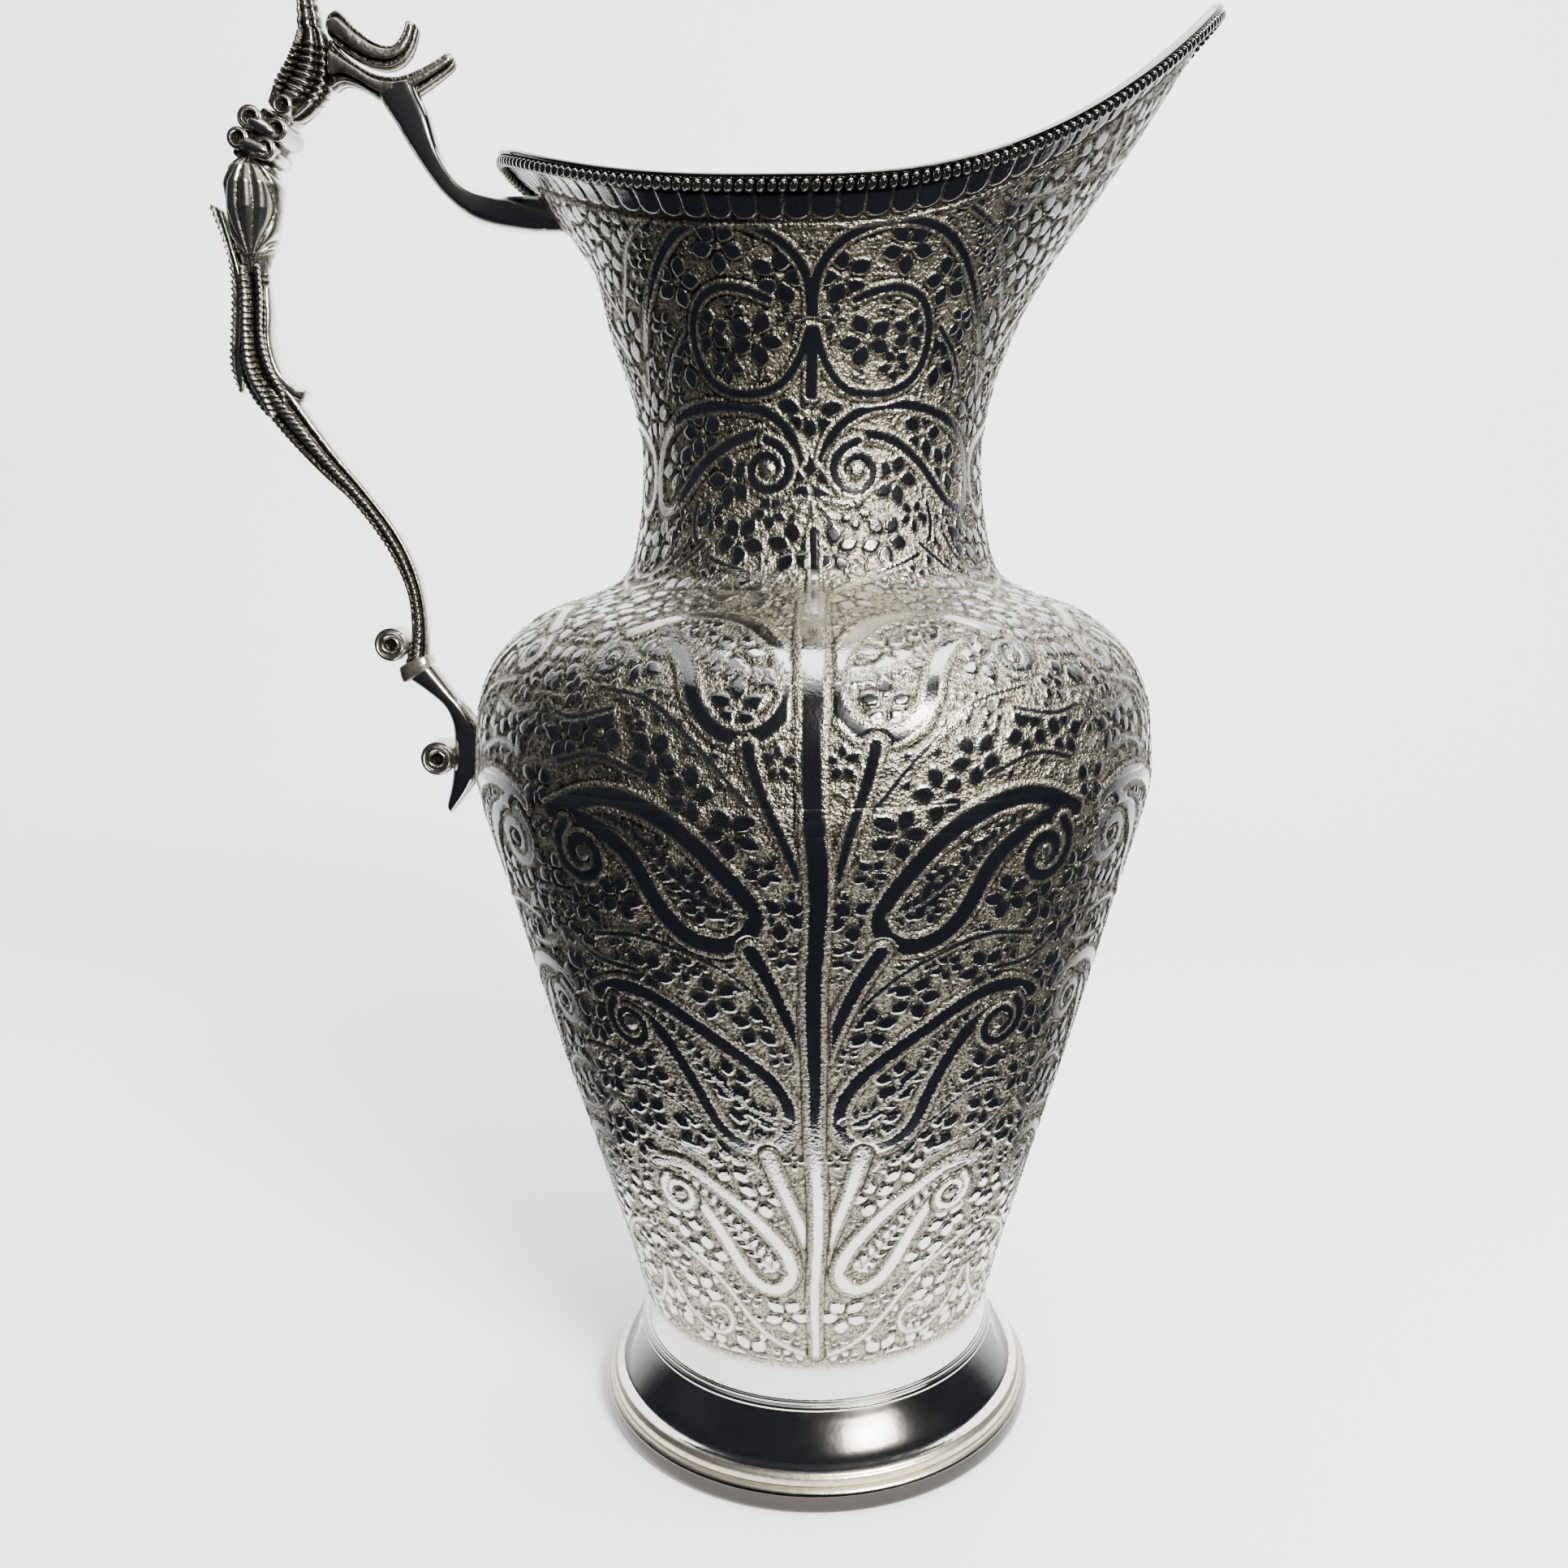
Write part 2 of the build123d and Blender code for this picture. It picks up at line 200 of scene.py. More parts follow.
level = add(tree, "ShaderNodeMath", {0: rays.outputs["Is Glossy Ray"], 1: -1.25, 2: 2.15},
            operation="MULTIPLY_ADD")
sky = add(tree, "ShaderNodeBackground", {"Color": room.outputs["Result"], "Strength": level.outputs[0]})
add(tree, "ShaderNodeOutputWorld", {"Surface": sky.outputs[0]})


def lamp(name, place, aim, size, power, code):
    """Rectangular soft light at a place, turned to an aim, both in mm."""
    data = bpy.data.lights.new(name, "AREA")
    data.shape = "RECTANGLE"
    data.size, data.size_y = size[0] * 0.001, size[1] * 0.001
    data.energy = power
    data.color = colour(code)[:3]
    made = bpy.data.objects.new(name, data)
    made.location = Vector(place) * 0.001
    made.rotation_mode = "QUATERNION"
    made.rotation_quaternion = (Vector(aim) - Vector(place)).to_track_quat("-Z", "Y")
    bpy.context.scene.collection.objects.link(made)
    return made


lamp("soft_window", (560, -900, 800), (0, 0, 150), (420, 240), 52.0, "#fffaf2")
lamp("top_fill", (200, 100, 1100), (0, 0, 150), (900, 900), 9.0, "#ffffff")

camera_data = bpy.data.cameras.new("camera")
camera_data.lens = 31.06
camera_data.sensor_width = 36.0
camera_data.shift_x = -0.019
camera_data.clip_start = 0.01
camera_data.clip_end = 20.0
camera = bpy.data.objects.new("camera", camera_data)
camera.rotation_mode = "QUATERNION"
camera.rotation_quaternion = (Matrix.Rotation(math.radians(90 - 10.26), 3, "X")
                              @ Matrix.Rotation(-0.005, 3, "Z")).to_quaternion()
camera.location = (0.0, -0.2964, 0.19735)
bpy.context.scene.collection.objects.link(camera)
bpy.context.scene.camera = camera

# ---- Body -------------------------------------------------------------------------
# Two spun shells joined by a hoop at the widest part, in silver plate on brass. The whole
# outside is chased by hand: a stem up each quarter, paisley loops that end in scrolls, and
# flowers on a ground punched dull. Where it is polished it mirrors the room.


def silver(name, bright, dull, smooth, rough, mark, grain, lift, spots):
    """Silver plate whose polish is a mark on each point, 0 bright and 1 dull.

    The mark plus some wear mixes the two colours, and the two roughnesses, in proportion; grain is
    the size of the punch in mm, lift the depth of its dents, spots the share of dark left in them.
    """
    made, tree, shader = blank_material(name)
    coords = add(tree, "ShaderNodeTexCoord")
    marked = add(tree, "ShaderNodeAttribute", attribute_name=mark)
    wear = add(tree, "ShaderNodeTexNoise", {"Vector": coords.outputs["Object"], "Scale": 55.0,
                                            "Detail": 4.0})
    pits = add(tree, "ShaderNodeTexNoise", {"Vector": coords.outputs["Object"], "Scale": 1000 / grain,
                                            "Detail": 2.0})
    worn = add(tree, "ShaderNodeMapRange", {"Value": wear.outputs["Fac"], "From Min": 0.35,
                                            "From Max": 0.7, "To Min": 0.0, "To Max": 0.16})
    amount = add(tree, "ShaderNodeMath", {0: marked.outputs["Fac"], 1: worn.outputs[0]}, operation="ADD",
                 use_clamp=True)
    tint = add(tree, "ShaderNodeMix", {"Factor": amount.outputs[0], "A": colour(bright),
                                       "B": colour(dull)}, data_type="RGBA")
    spread = add(tree, "ShaderNodeMapRange", {"Value": amount.outputs[0], "To Min": smooth,
                                              "To Max": rough})
    # The next mark darkens the colour towards near black: real tarnish in the hollows, and a painted dark
    # reflection on the lower roll of the foot ring.
    sunk = add(tree, "ShaderNodeAttribute", attribute_name="tarnish_and_painted_dark")
    speck = add(tree, "ShaderNodeMapRange", {"Value": pits.outputs["Fac"], "From Min": 0.52,
                                             "From Max": 0.40, "To Max": spots})
    specked = add(tree, "ShaderNodeMath", {0: speck.outputs[0], 1: marked.outputs["Fac"]},
                  operation="MULTIPLY")
    darkened = add(tree, "ShaderNodeMath", {0: specked.outputs[0], 1: sunk.outputs["Fac"]},
                   operation="MAXIMUM")
    darkening = add(tree, "ShaderNodeMix", {"Factor": darkened.outputs[0], "A": tint.outputs["Result"],
                                       "B": colour("#191714")}, data_type="RGBA")
    depth = add(tree, "ShaderNodeMath", {0: amount.outputs[0], 1: lift}, operation="MULTIPLY")
    raised = add(tree, "ShaderNodeBump", {"Strength": depth.outputs[0], "Distance": 0.0005,
                                          "Height": pits.outputs["Fac"]})
    tree.links.new(darkening.outputs["Result"], shader.inputs["Base Color"])
    tree.links.new(spread.outputs[0], shader.inputs["Roughness"])
    tree.links.new(raised.outputs[0], shader.inputs["Normal"])
    shader.inputs["Metallic"].default_value = 1.0
    return made


# Silver plate chased and punched: mirror-bright petals and bands on a dull cream ground,
# grained by the 0.6 mm punch.
chased = silver("chased_silver_plate", "#dcdcda", "#c2bca8", 0.08, 0.36, "ground", 0.6, 1.0, 0.7)


def curve(points, count):
    """Catmull-Rom curve through points, resampled at even steps of its own length."""
    keys = np.asarray(points, float)
    keys = np.concatenate([[2 * keys[0] - keys[1]], keys, [2 * keys[-1] - keys[-2]]])
    t = np.linspace(0, 1, 24, endpoint=False)[:, None]
    a, b, c, d = keys[:-3, None], keys[1:-2, None], keys[2:-1, None], keys[3:, None]
    run = 0.5 * (2 * b + (c - a) * t + (2 * a - 5 * b + 4 * c - d) * t ** 2
                 + (3 * b - a - 3 * c + d) * t ** 3)
    run = np.concatenate([run.reshape(-1, keys.shape[1]), keys[-2:-1]])
    gone = np.concatenate([[0], np.cumsum(np.linalg.norm(np.diff(run, axis=0), axis=1))])
    steps = np.linspace(0, gone[-1], count)
    return np.stack([np.interp(steps, gone, column) for column in run.T], -1)


def ease(share):
    """Smooth step: three times the square less twice the cube, held between 0 and 1."""
    share = np.clip(share, 0, 1)
    return share * share * (3 - 2 * share)


def corners(node):
    """Lowest and highest corner of a CAD node in mm, to the nearest micron."""
    return [np.round(np.array(corner) * 1000, 3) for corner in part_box(node)]


WIDEST, _, HOOP_TOP = corners("belly_hoop")[1]
BODY_FOOT, HOOP_FOOT = corners("lower_body")[0][2], corners("belly_hoop")[0][2]
SPOUT_REACH, _, SPOUT_TOP = corners("upper_body")[1]
BODY_PROFILE = [(40, BODY_FOOT), (39.8, 24.9), (41.9, 35.2), (48.5, 59.7), (55.9, 85.5), (62.2, 108.8),
                (67.9, 130), (70.6, 139.8), (72.2, HOOP_FOOT), (WIDEST, HOOP_TOP), (70.9, 165),
                (66.2, 174.5), (57, 182), (45.5, 186.2), (39.4, 190.6), (36.6, 200), (35.4, 213),
                (37, 225), (41.3, 238), (48.9, 252), (58.8, 266), (68.4, 280),
                (SPOUT_REACH, SPOUT_TOP), (86.6, 309)]
run = curve(BODY_PROFILE, 4000)
run_length = np.concatenate([[0], np.cumsum(np.linalg.norm(np.diff(run, axis=0), axis=1))])
slope = np.gradient(run, run_length, axis=0)


def along(height):
    """Length up the profile at a height."""
    return np.interp(height, run[:, 1], run_length)


def radius(length):
    """Radius of the body at a length up the profile."""
    return np.interp(length, run_length, run[:, 0])


# Reach from the axis, height and power of the rim's rise, at the spout and at the handle.
SPOUT, HEEL = (SPOUT_REACH, SPOUT_TOP, 2.2), (63.5, 273.0, 2.45)
RIM_LOW = 257.4


def rim_line(reach):
    """Height of the rim over the handle-to-spout line: a power of the share of the reach."""
    front = RIM_LOW + (SPOUT[1] - RIM_LOW) * (np.maximum(reach, 0) / SPOUT[0]) ** SPOUT[2]
    back = RIM_LOW + (HEEL[1] - RIM_LOW) * (np.maximum(-reach, 0) / HEEL[0]) ** HEEL[2]
    return np.where(reach > 0, front, back)


COLUMNS = 840
turns = np.linspace(0, 2 * math.pi, COLUMNS, endpoint=False)
upper = run[:, 1] > 245
upper_length = run_length[upper]
over = run[upper, 1][None] - rim_line(run[upper, 0][None] * np.sin(turns)[:, None])
first = np.argmax(over > 0, axis=1)
under, above = over[np.arange(COLUMNS), first - 1], over[np.arange(COLUMNS), first]
part = under / (under - above)
rim_length = upper_length[first - 1] + part * (upper_length[first] - upper_length[first - 1])


def on_body(turn, length, out):
    """Point at a turn from the front and a length up the profile, moved out of the sheet.

    The profile's radius and height, plus out times its normal, turned about the axis.
    """
    # The mouth is drawn in towards the handle, more so under the lip, which curls out over it.
    below = np.interp(turn, turns, rim_length, period=2 * math.pi) - length
    near_handle = np.exp(-((turn % (2 * math.pi) - 1.5 * math.pi) / 0.7) ** 2)
    height = np.interp(length, run_length, run[:, 1])
    inward = near_handle * ease((height - 236) / 18) * (1.6 + 2.8 * ease(below / 5))
    r = radius(length) + out * np.interp(length, run_length, slope[:, 1]) - inward
    z = height - out * np.interp(length, run_length, slope[:, 0])
    return np.stack([r * np.sin(turn), -r * np.cos(turn), z + 0 * turn], -1)


CELL = 0.24
dice = np.random.default_rng(7)


def drawing(turn, low, high):
    """Blank drawing of one half repeat of the chasing, from its middle line to its edge."""
    rows = np.arange(along(low), along(high), CELL)
    cols = np.linspace(0, math.radians(turn), int(math.radians(turn) * 72 / CELL))
    shape = (len(rows), len(cols))
    return {"rows": rows, "cols": cols, "r": radius(rows), "height": np.zeros(shape),
            "polish": np.zeros(shape), "free": np.full(shape, 99.0)}


def window(plan, turn, length, reach):
    """Slices of the cells within a reach of a spot, and their offsets from it in mm."""
    r = float(radius(length))
    rows = slice(*np.searchsorted(plan["rows"], (length - reach, length + reach)))
    cols = slice(*np.searchsorted(plan["cols"], (turn - reach / r, turn + reach / r)))
    across = (plan["cols"][cols][None] - turn) * plan["r"][rows][:, None]
    return (rows, cols), across, plan["rows"][rows][:, None] - length + 0 * across


def path_on(points, step=1.2):
    """Drawn line of (degrees, height) points as (turn, length) points a step of mm apart."""
    keys = np.array([(math.radians(turn), along(height)) for turn, height in points])
    sized = keys * [float(radius(keys[:, 1]).mean()), 1]
    count = max(3, int(np.linalg.norm(np.diff(sized, axis=0), axis=1).sum() / step) + 1)
    path = curve(sized, count)
    for _ in range(6):
        path[1:-1] = (path[:-2] + 2 * path[1:-1] + path[2:]) / 4
    return path / [float(radius(keys[:, 1]).mean()), 1]


def reach_of(plan, path, reach):
    """Distance of the cells from a path, the length along it and its whole length, within a reach."""
    best = np.full(plan["height"].shape, 99.0)
    gone = np.zeros_like(best)
    start = 0.0
    for (t0, l0), (t1, l1) in zip(path, path[1:]):
        span = math.hypot((t1 - t0) * float(radius((l0 + l1) / 2)), l1 - l0)
        box, x, y = window(plan, (t0 + t1) / 2, (l0 + l1) / 2, reach + span / 2)
        if x.size:
            r = plan["r"][box[0]][:, None]
            dx, dy = (t1 - t0) * r, l1 - l0
            share = np.clip(0.5 + (x * dx + y * dy) / (dx * dx + dy * dy + 1e-9), 0, 1)
            away = np.hypot(x - (share - 0.5) * dx, y - (share - 0.5) * dy)
            nearer = away < best[box]
            best[box] = np.where(nearer, away, best[box])
            gone[box] = np.where(nearer, start + share * span, gone[box])
        start += span
    return best, gone, start


def band(plan, path, core, edge, height=0.5, taper=0.0):
    """Polished flat band between two raised, punched border lines, with a groove outside them."""
    away, gone, whole = reach_of(plan, path, core + edge + 1.2)
    if taper:
        core = core * (1 - taper * gone / whole)
    inside = ease((core - away) / 0.25 + 0.5)
    border = np.clip(1 - np.abs(away - core - edge / 2) / (edge / 2), 0, 1) ** 0.5
    beads = 0.82 + 0.18 * np.cos(2 * math.pi * gone / 1.1)
    wanted = height * 0.62 * inside + (height + 0.12) * border * beads * (away > core)
    groove = -0.16 * ease(1 - np.abs(away - core - edge - 0.25) / 0.4)
    here = away < core + edge + 0.6
    plan["height"] = np.where(here, wanted + groove, plan["height"])
    plan["polish"] = np.where(here, inside, plan["polish"])
    plan["free"] = np.minimum(plan["free"], away - core - edge - 0.1)


def line(plan, path, half, height=0.4, shine=0.35):
    """Raised round line."""
    away = reach_of(plan, path, half + 0.6)[0]
    crest = np.sqrt(np.clip(1 - (away / half) ** 2, 0, 1))
    here = away < half + 0.3
    plan["height"] = np.where(here, height * crest - 0.1 * (away > half), plan["height"])
    plan["polish"] = np.where(here, shine * crest, plan["polish"])
    plan["free"] = np.minimum(plan["free"], away - half - 0.1)


def leaf(plan, turn, length, angle, long, half, height=0.4):
    """Polished almond from a spot outward at an angle."""
    box, x, y = window(plan, turn, length, long + 0.5)
    if not x.size:
        return
    u = x * math.cos(angle) + y * math.sin(angle)
    v = -x * math.sin(angle) + y * math.cos(angle)
    swell = np.sin(math.pi * np.clip(u / long, 0, 1)) ** 0.75
    margin = np.where((swell > 0.02) & (plan["free"][box] > -0.15), half * swell - np.abs(v), -9.0)
    rise = ease(margin / 0.3 + 0.2)
    lip = 0.14 * ease(1 - np.abs(margin - 0.12) / 0.2)
    plan["height"][box] = np.maximum(plan["height"][box], height * rise + lip)
    plan["polish"][box] = np.maximum(plan["polish"][box], ease(margin / 0.22))


def flower(plan, turn, length, size, petals):
    """Round of almond petals about a small raised eye."""
    start = dice.uniform(0, 2 * math.pi)
    r = float(radius(length))
    half = min(0.32 * size, 1.55 * size / petals)
    for k in range(petals):
        angle = start + 2 * math.pi * k / petals + dice.uniform(-0.12, 0.12)
        long = size * dice.uniform(0.76, 0.88)
        leaf(plan, turn + 0.2 * size * math.cos(angle) / r, length + 0.2 * size * math.sin(angle), angle,
             long, half)
    box, x, y = window(plan, turn, length, 0.25 * size)
    away = np.hypot(x, y)
    plan["height"][box] = np.maximum(plan["height"][box], 0.5 * ease(1 - away / (0.2 * size)))


def volute(plan, turn, height, size, start, way, core=0.95, edge=0.8, rounds=1.35):
    """Scroll: a band whose distance from its centre shrinks evenly as it turns, and its eye."""
    length = float(along(height))
    angle = np.linspace(0, 2 * math.pi * rounds, int(14 * rounds))
    away = size + (1.9 - size) * np.linspace(0, 1, len(angle)) ** 0.85
    where = math.radians(start) + way * angle
    path = np.stack([math.radians(turn) + away * np.cos(where) / radius(length),
                     length + away * np.sin(where)], -1)
    band(plan, path[::-1], core, edge)
    box, x, y = window(plan, math.radians(turn), length, 2.4)
    gap = np.hypot(x, y)
    plan["height"][box] = np.where(gap < 2.0, 0.75 * np.sqrt(np.clip(1 - (gap / 1.7) ** 2, 0, 1)) - 0.1,
                                   plan["height"][box])
    plan["polish"][box] = np.where(gap < 2.0, 0.5 * (gap < 1.5), plan["polish"][box])


def fan(plan, turn, height, size, spread=1.0):
    """Small shell: ribs that spread down from a spot inside a round border."""
    length = float(along(height))
    box, x, y = window(plan, math.radians(turn), length, size * 1.2)
    away, angle = np.hypot(x / spread, y), np.arctan2(x, -y)
    here = (away < size) & (np.abs(angle) < 1.5)
    ribs = 0.28 + 0.25 * np.cos(angle * 9)
    edge = 0.3 * ease(1 - np.abs(away - size * 0.55) / 0.5)
    plan["height"][box] = np.where(here, ribs * ease((size - away) / 0.6) + edge, plan["height"][box])
    plan["polish"][box] = np.where(here, 0.5 * (ribs > 0.3), plan["polish"][box])
    plan["free"][box] = np.minimum(plan["free"][box], np.where(np.abs(angle) < 1.6, away - size, 9.0))


def vine(plan, points, half=0.4, gap=4.0, long=3.0):
    """Thin stem, a dark line between two raised ones, with leaves set alternately on both sides."""
    path = path_on(points, 1.0)
    band(plan, path, half, 0.6, 0.36)
    r = radius(path[:, 1])
    heading = np.arctan2(np.gradient(path[:, 1]), np.gradient(path[:, 0]) * r)
    for k in range(2, len(path) - 1, int(gap)):
        side = 1 if (k // int(gap)) % 2 else -1
        leaf(plan, path[k, 0], path[k, 1], heading[k] + side * 0.95, long, 0.85)


def paisley(plan, points, core, edge):
    """Closed loop of band with a sprig of leaves on a rib up its middle."""
    loop = path_on(points)
    band(plan, loop, core, edge)
    half = len(loop) // 2
    rib = (loop[2:half - 3] + loop[::-1][2:half - 3]) / 2
    apart = np.hypot((loop[2:half - 3, 0] - loop[::-1][2:half - 3, 0]) * radius(rib[:, 1]),
                     loop[2:half - 3, 1] - loop[::-1][2:half - 3, 1])
    rib = rib[apart > 2 * (core + edge) + 2.2]
    if len(rib) > 3:
        line(plan, rib, 0.45, 0.45)
        r = radius(rib[:, 1])
        heading = np.arctan2(np.gradient(rib[:, 1]), np.gradient(rib[:, 0]) * r)
        for k in range(1, len(rib) - 1, 2):
            for side in (-1, 1):
                leaf(plan, rib[k, 0], rib[k, 1], heading[k] + math.pi + side * 0.85, 3.0, 0.75)


# Each round of the filling: radius of the flowers in mm, their petals and how many spots are tried.
FILLING = ((5.0, 5, 4000), (4.2, 5, 6000), (3.3, 5, 8000), (2.4, 4, 12000), (1.5, 3, 16000))


def fill(plan):
    """Flowers, trefoils and almonds packed into whatever is left, the largest first."""
    for size, petals, tries in FILLING:
        rows = dice.integers(0, len(plan["rows"]), tries)
        cols = dice.integers(0, len(plan["cols"]), tries)
        for i, j in zip(rows, cols):
            if plan["free"][i, j] < size * 0.78:
                continue
            turn, length = plan["cols"][j], plan["rows"][i]
            flower(plan, turn, length, size, petals)
            box, x, y = window(plan, turn, length, size + 5.2)
            plan["free"][box] = np.minimum(plan["free"][box], np.hypot(x, y) - size)


def finish_drawing(plan):
    """Soften the steps of the drawing, and mark what lies lower than the mean of its surroundings."""
    for key in ("height", "polish"):
        grown = np.pad(plan[key], 1, mode="edge")
        plan[key] = (grown[:-2, 1:-1] + grown[2:, 1:-1] + grown[1:-1, :-2] + grown[1:-1, 2:]
                     + 4 * grown[1:-1, 1:-1]) / 8
    blurred = plan["height"]
    for axis in (0, 1):
        padded = np.pad(blurred, [(4, 4) if k == axis else (0, 0) for k in (0, 1)], mode="edge")
        total = np.insert(np.cumsum(padded, axis), 0, 0, axis)
        count = blurred.shape[axis]
        blurred = (np.take(total, range(9, count + 9), axis) - np.take(total, range(count), axis)) / 9
    plan["deep"] = ease((blurred - plan["height"] - 0.03) / 0.12) * (1 - 0.6 * plan["polish"])


def sample(plan, period, turn, length):
    """Height, polish and tarnish of a drawing at points, folded about its middle line and its edge."""
    turn = turn + 0.006 * np.sin(3 * turn + length / 11) + 0.004 * np.sin(7 * turn - length / 6)
    length = length + 0.35 * np.sin(5 * turn + 1.3) + 0.2 * np.sin(11 * turn + length / 17)
    whole = math.radians(period)
    folded = np.abs((turn + whole / 2) % whole - whole / 2)
    i = np.clip((length - plan["rows"][0]) / CELL, 0, len(plan["rows"]) - 1.001)
    j = np.clip(folded / plan["cols"][-1] * (len(plan["cols"]) - 1), 0, len(plan["cols"]) - 1.001)
    i0, j0 = i.astype(int), j.astype(int)
    a, b = i - i0, j - j0
    return [(1 - a) * ((1 - b) * plan[k][i0, j0] + b * plan[k][i0, j0 + 1])
            + a * ((1 - b) * plan[k][i0 + 1, j0] + b * plan[k][i0 + 1, j0 + 1])
            for k in ("height", "polish", "deep")]


# An eighth of the belly and shoulder, from the stem's middle to the middle between two stems;
# points are (degrees from the stem, height).
belly = drawing(45, BODY_FOOT, 192)
vine(belly, [(33.4, 171.3), (23.5, 169.3), (14.8, 160.7), (9.2, 153.5), (5, 147.8), (2.4, 136.3)])
vine(belly, [(36.8, 125), (27, 126.4), (15, 121.7), (7.9, 114.8), (3.1, 104.6)])
vine(belly, [(40, 158), (33, 160), (25, 157)])
vine(belly, [(40, 92), (31, 92.5), (19, 84), (9, 74), (3.4, 64)])
vine(belly, [(42, 56), (33, 53), (25, 47.5), (19, 40), (12, 34), (3, 31)])
vine(belly, [(44, 45), (40, 37.5), (33, 33), (26, 33.5), (23.4, 38), (27, 41.5), (31, 39.5)])
vine(belly, [(45, 168), (38, 166), (30, 168)])
vine(belly, [(43, 123), (38, 119.5), (30, 119)])
vine(belly, [(44, 87), (38, 82), (30, 80.5), (24, 79)])
paisley(belly, [(34, 180.4), (29.4, 182), (23, 183.6), (12.8, 183.1), (5, 178.8), (2.9, 172.4),
                (5, 167.2), (9.3, 164.2), (13.8, 165.2), (17.1, 169.8), (19.5, 176.4),
                (26.2, 180.6)], 1.35, 1.1)
paisley(belly, [(41.5, 148.7), (36.8, 151.4), (30.9, 152.9), (24.4, 151.1), (18.5, 147.1), (13.3, 140.7),
                (9.6, 134.5), (9.3, 130), (13, 126.4), (16.7, 126.2), (21.1, 128.8), (24.2, 134.6),
                (26.3, 140.8), (30.1, 145.2), (33.5, 147.6), (37.5, 148.4)], 1.6, 1.15)
paisley(belly, [(40.8, 111.9), (34.6, 114.8), (27.8, 113.9), (20.2, 109.3), (12.8, 103.7), (7.3, 97.9),
                (4.6, 91.2), (5.9, 85.2), (10.4, 82.8), (15.7, 83.7), (19.7, 87.6), (22.3, 95.1),
                (24.8, 101.4), (29, 108.1), (35, 111.2)], 1.4, 1.05)
paisley(belly, [(37.9, 74.5), (30.2, 75.6), (23.8, 72.4), (16.7, 67.8), (9.7, 60.5), (5.9, 54.7),
                (6.6, 49.5), (11, 47), (16.5, 49.5), (20, 55), (23.5, 62), (28, 68),
                (33, 71.5)], 1.15, 0.95)
for turn, height, size in ((36.5, 141.4, 6.6), (34.6, 106.4, 5.6), (32.2, 67.8, 4.6), (33.5, 176.4, 4.6)):
    volute(belly, turn, height, size, 60, -1, 0.16 * size, 0.14 * size)
for height, size in ((133, 5.4), (99, 4.8), (61, 4.0), (170, 4.4)):
    fan(belly, 45, height, size)
band(belly, path_on([(9, 163), (7.6, 157), (4.8, 149), (2.6, 140)]), 1.2, 0.8, 0.5, 0.5)
band(belly, path_on([(10, 125.6), (6.8, 119.2), (3.8, 110.7), (1.5, 103)]), 1.4, 0.9, 0.5, 0.4)
band(belly, path_on([(9.6, 81.6), (7.2, 73.6), (3.5, 63.1), (1.2, 56)]), 1.2, 0.8, 0.5, 0.4)
stem = path_on([(0, 190), (0, 172), (0, 140), (0, 100), (0, 60), (0, 31)])
band(belly, stem, 2.3, 1.0, 0.5, 0.72)
belly["free"][belly["rows"] < along(28.5)] = -1
fill(belly)
finish_drawing(belly)

# A sixth of the neck and mouth in the same way.
mouth = drawing(60, 184, 305)
vine(mouth, [(38.4, 204), (39.4, 200), (36.8, 195.8), (30, 193), (20.5, 191.4), (11, 189.4), (3, 187)])
vine(mouth, [(59, 190), (50, 192), (44, 198)])
vine(mouth, [(60, 226), (53.6, 233.8), (44.1, 241.7), (38, 246)])
vine(mouth, [(60, 240), (52, 246), (45, 251.5), (34, 255)])
vine(mouth, [(34, 196), (46, 190), (60, 187.5)])
vine(mouth, [(36, 236), (44, 231), (50, 224.5)])
vine(mouth, [(0, 300), (8, 290), (12, 280), (10, 268)])
vine(mouth, [(60, 296), (50, 299), (40, 298), (30, 301)])
vine(mouth, [(3, 262), (16, 258.5), (30, 262), (44, 257), (58, 262)])
vine(mouth, [(6, 275), (18, 268), (34, 273), (48, 268), (58, 276)])
vine(mouth, [(12, 292), (26, 284), (38, 290), (50, 284)])
band(mouth, path_on([(3.5, 212.3), (6.4, 217.2), (16.7, 221.4), (37, 221.6), (55, 216.6), (58.5, 209),
                     (54.8, 202.5), (46.5, 204.3), (37, 210.8), (24.6, 215.7), (15, 216.9)]), 0.9, 0.8)
volute(mouth, 14, 210.2, 5.4, 90, 1, 0.85, 0.75, 1.25)
fan(mouth, 0, 205.5, 5.6, 1.3)
band(mouth, path_on([(0, 199), (0, 194), (0, 185)]), 0.9, 0.7)
band(mouth, path_on([(0.4, 233), (0.6, 242.9), (4.8, 248.2), (12.9, 251.4), (22.3, 252.6), (31.9, 250.3),
                     (43, 243.3), (54.2, 233.8)]), 0.75, 0.7)
band(mouth, path_on([(0.5, 224), (0.5, 236.7), (2.2, 231.7), (9.5, 225), (21.8, 223.9), (30.8, 227.2),
                     (33.1, 234.2), (28.6, 240.6), (19.9, 242.2), (10.4, 240)]), 0.7, 0.65)
fill(mouth)
finish_drawing(mouth)

TONGUE_WIDTH = 4.9
rim_points = on_body(turns, rim_length, 0.0)
rim_steps = np.linalg.norm(np.diff(rim_points, axis=0, append=rim_points[:1]), axis=1)
rim_gone = np.concatenate([[0], np.cumsum(rim_steps)])
TONGUES = int(rim_gone[-1] / TONGUE_WIDTH)


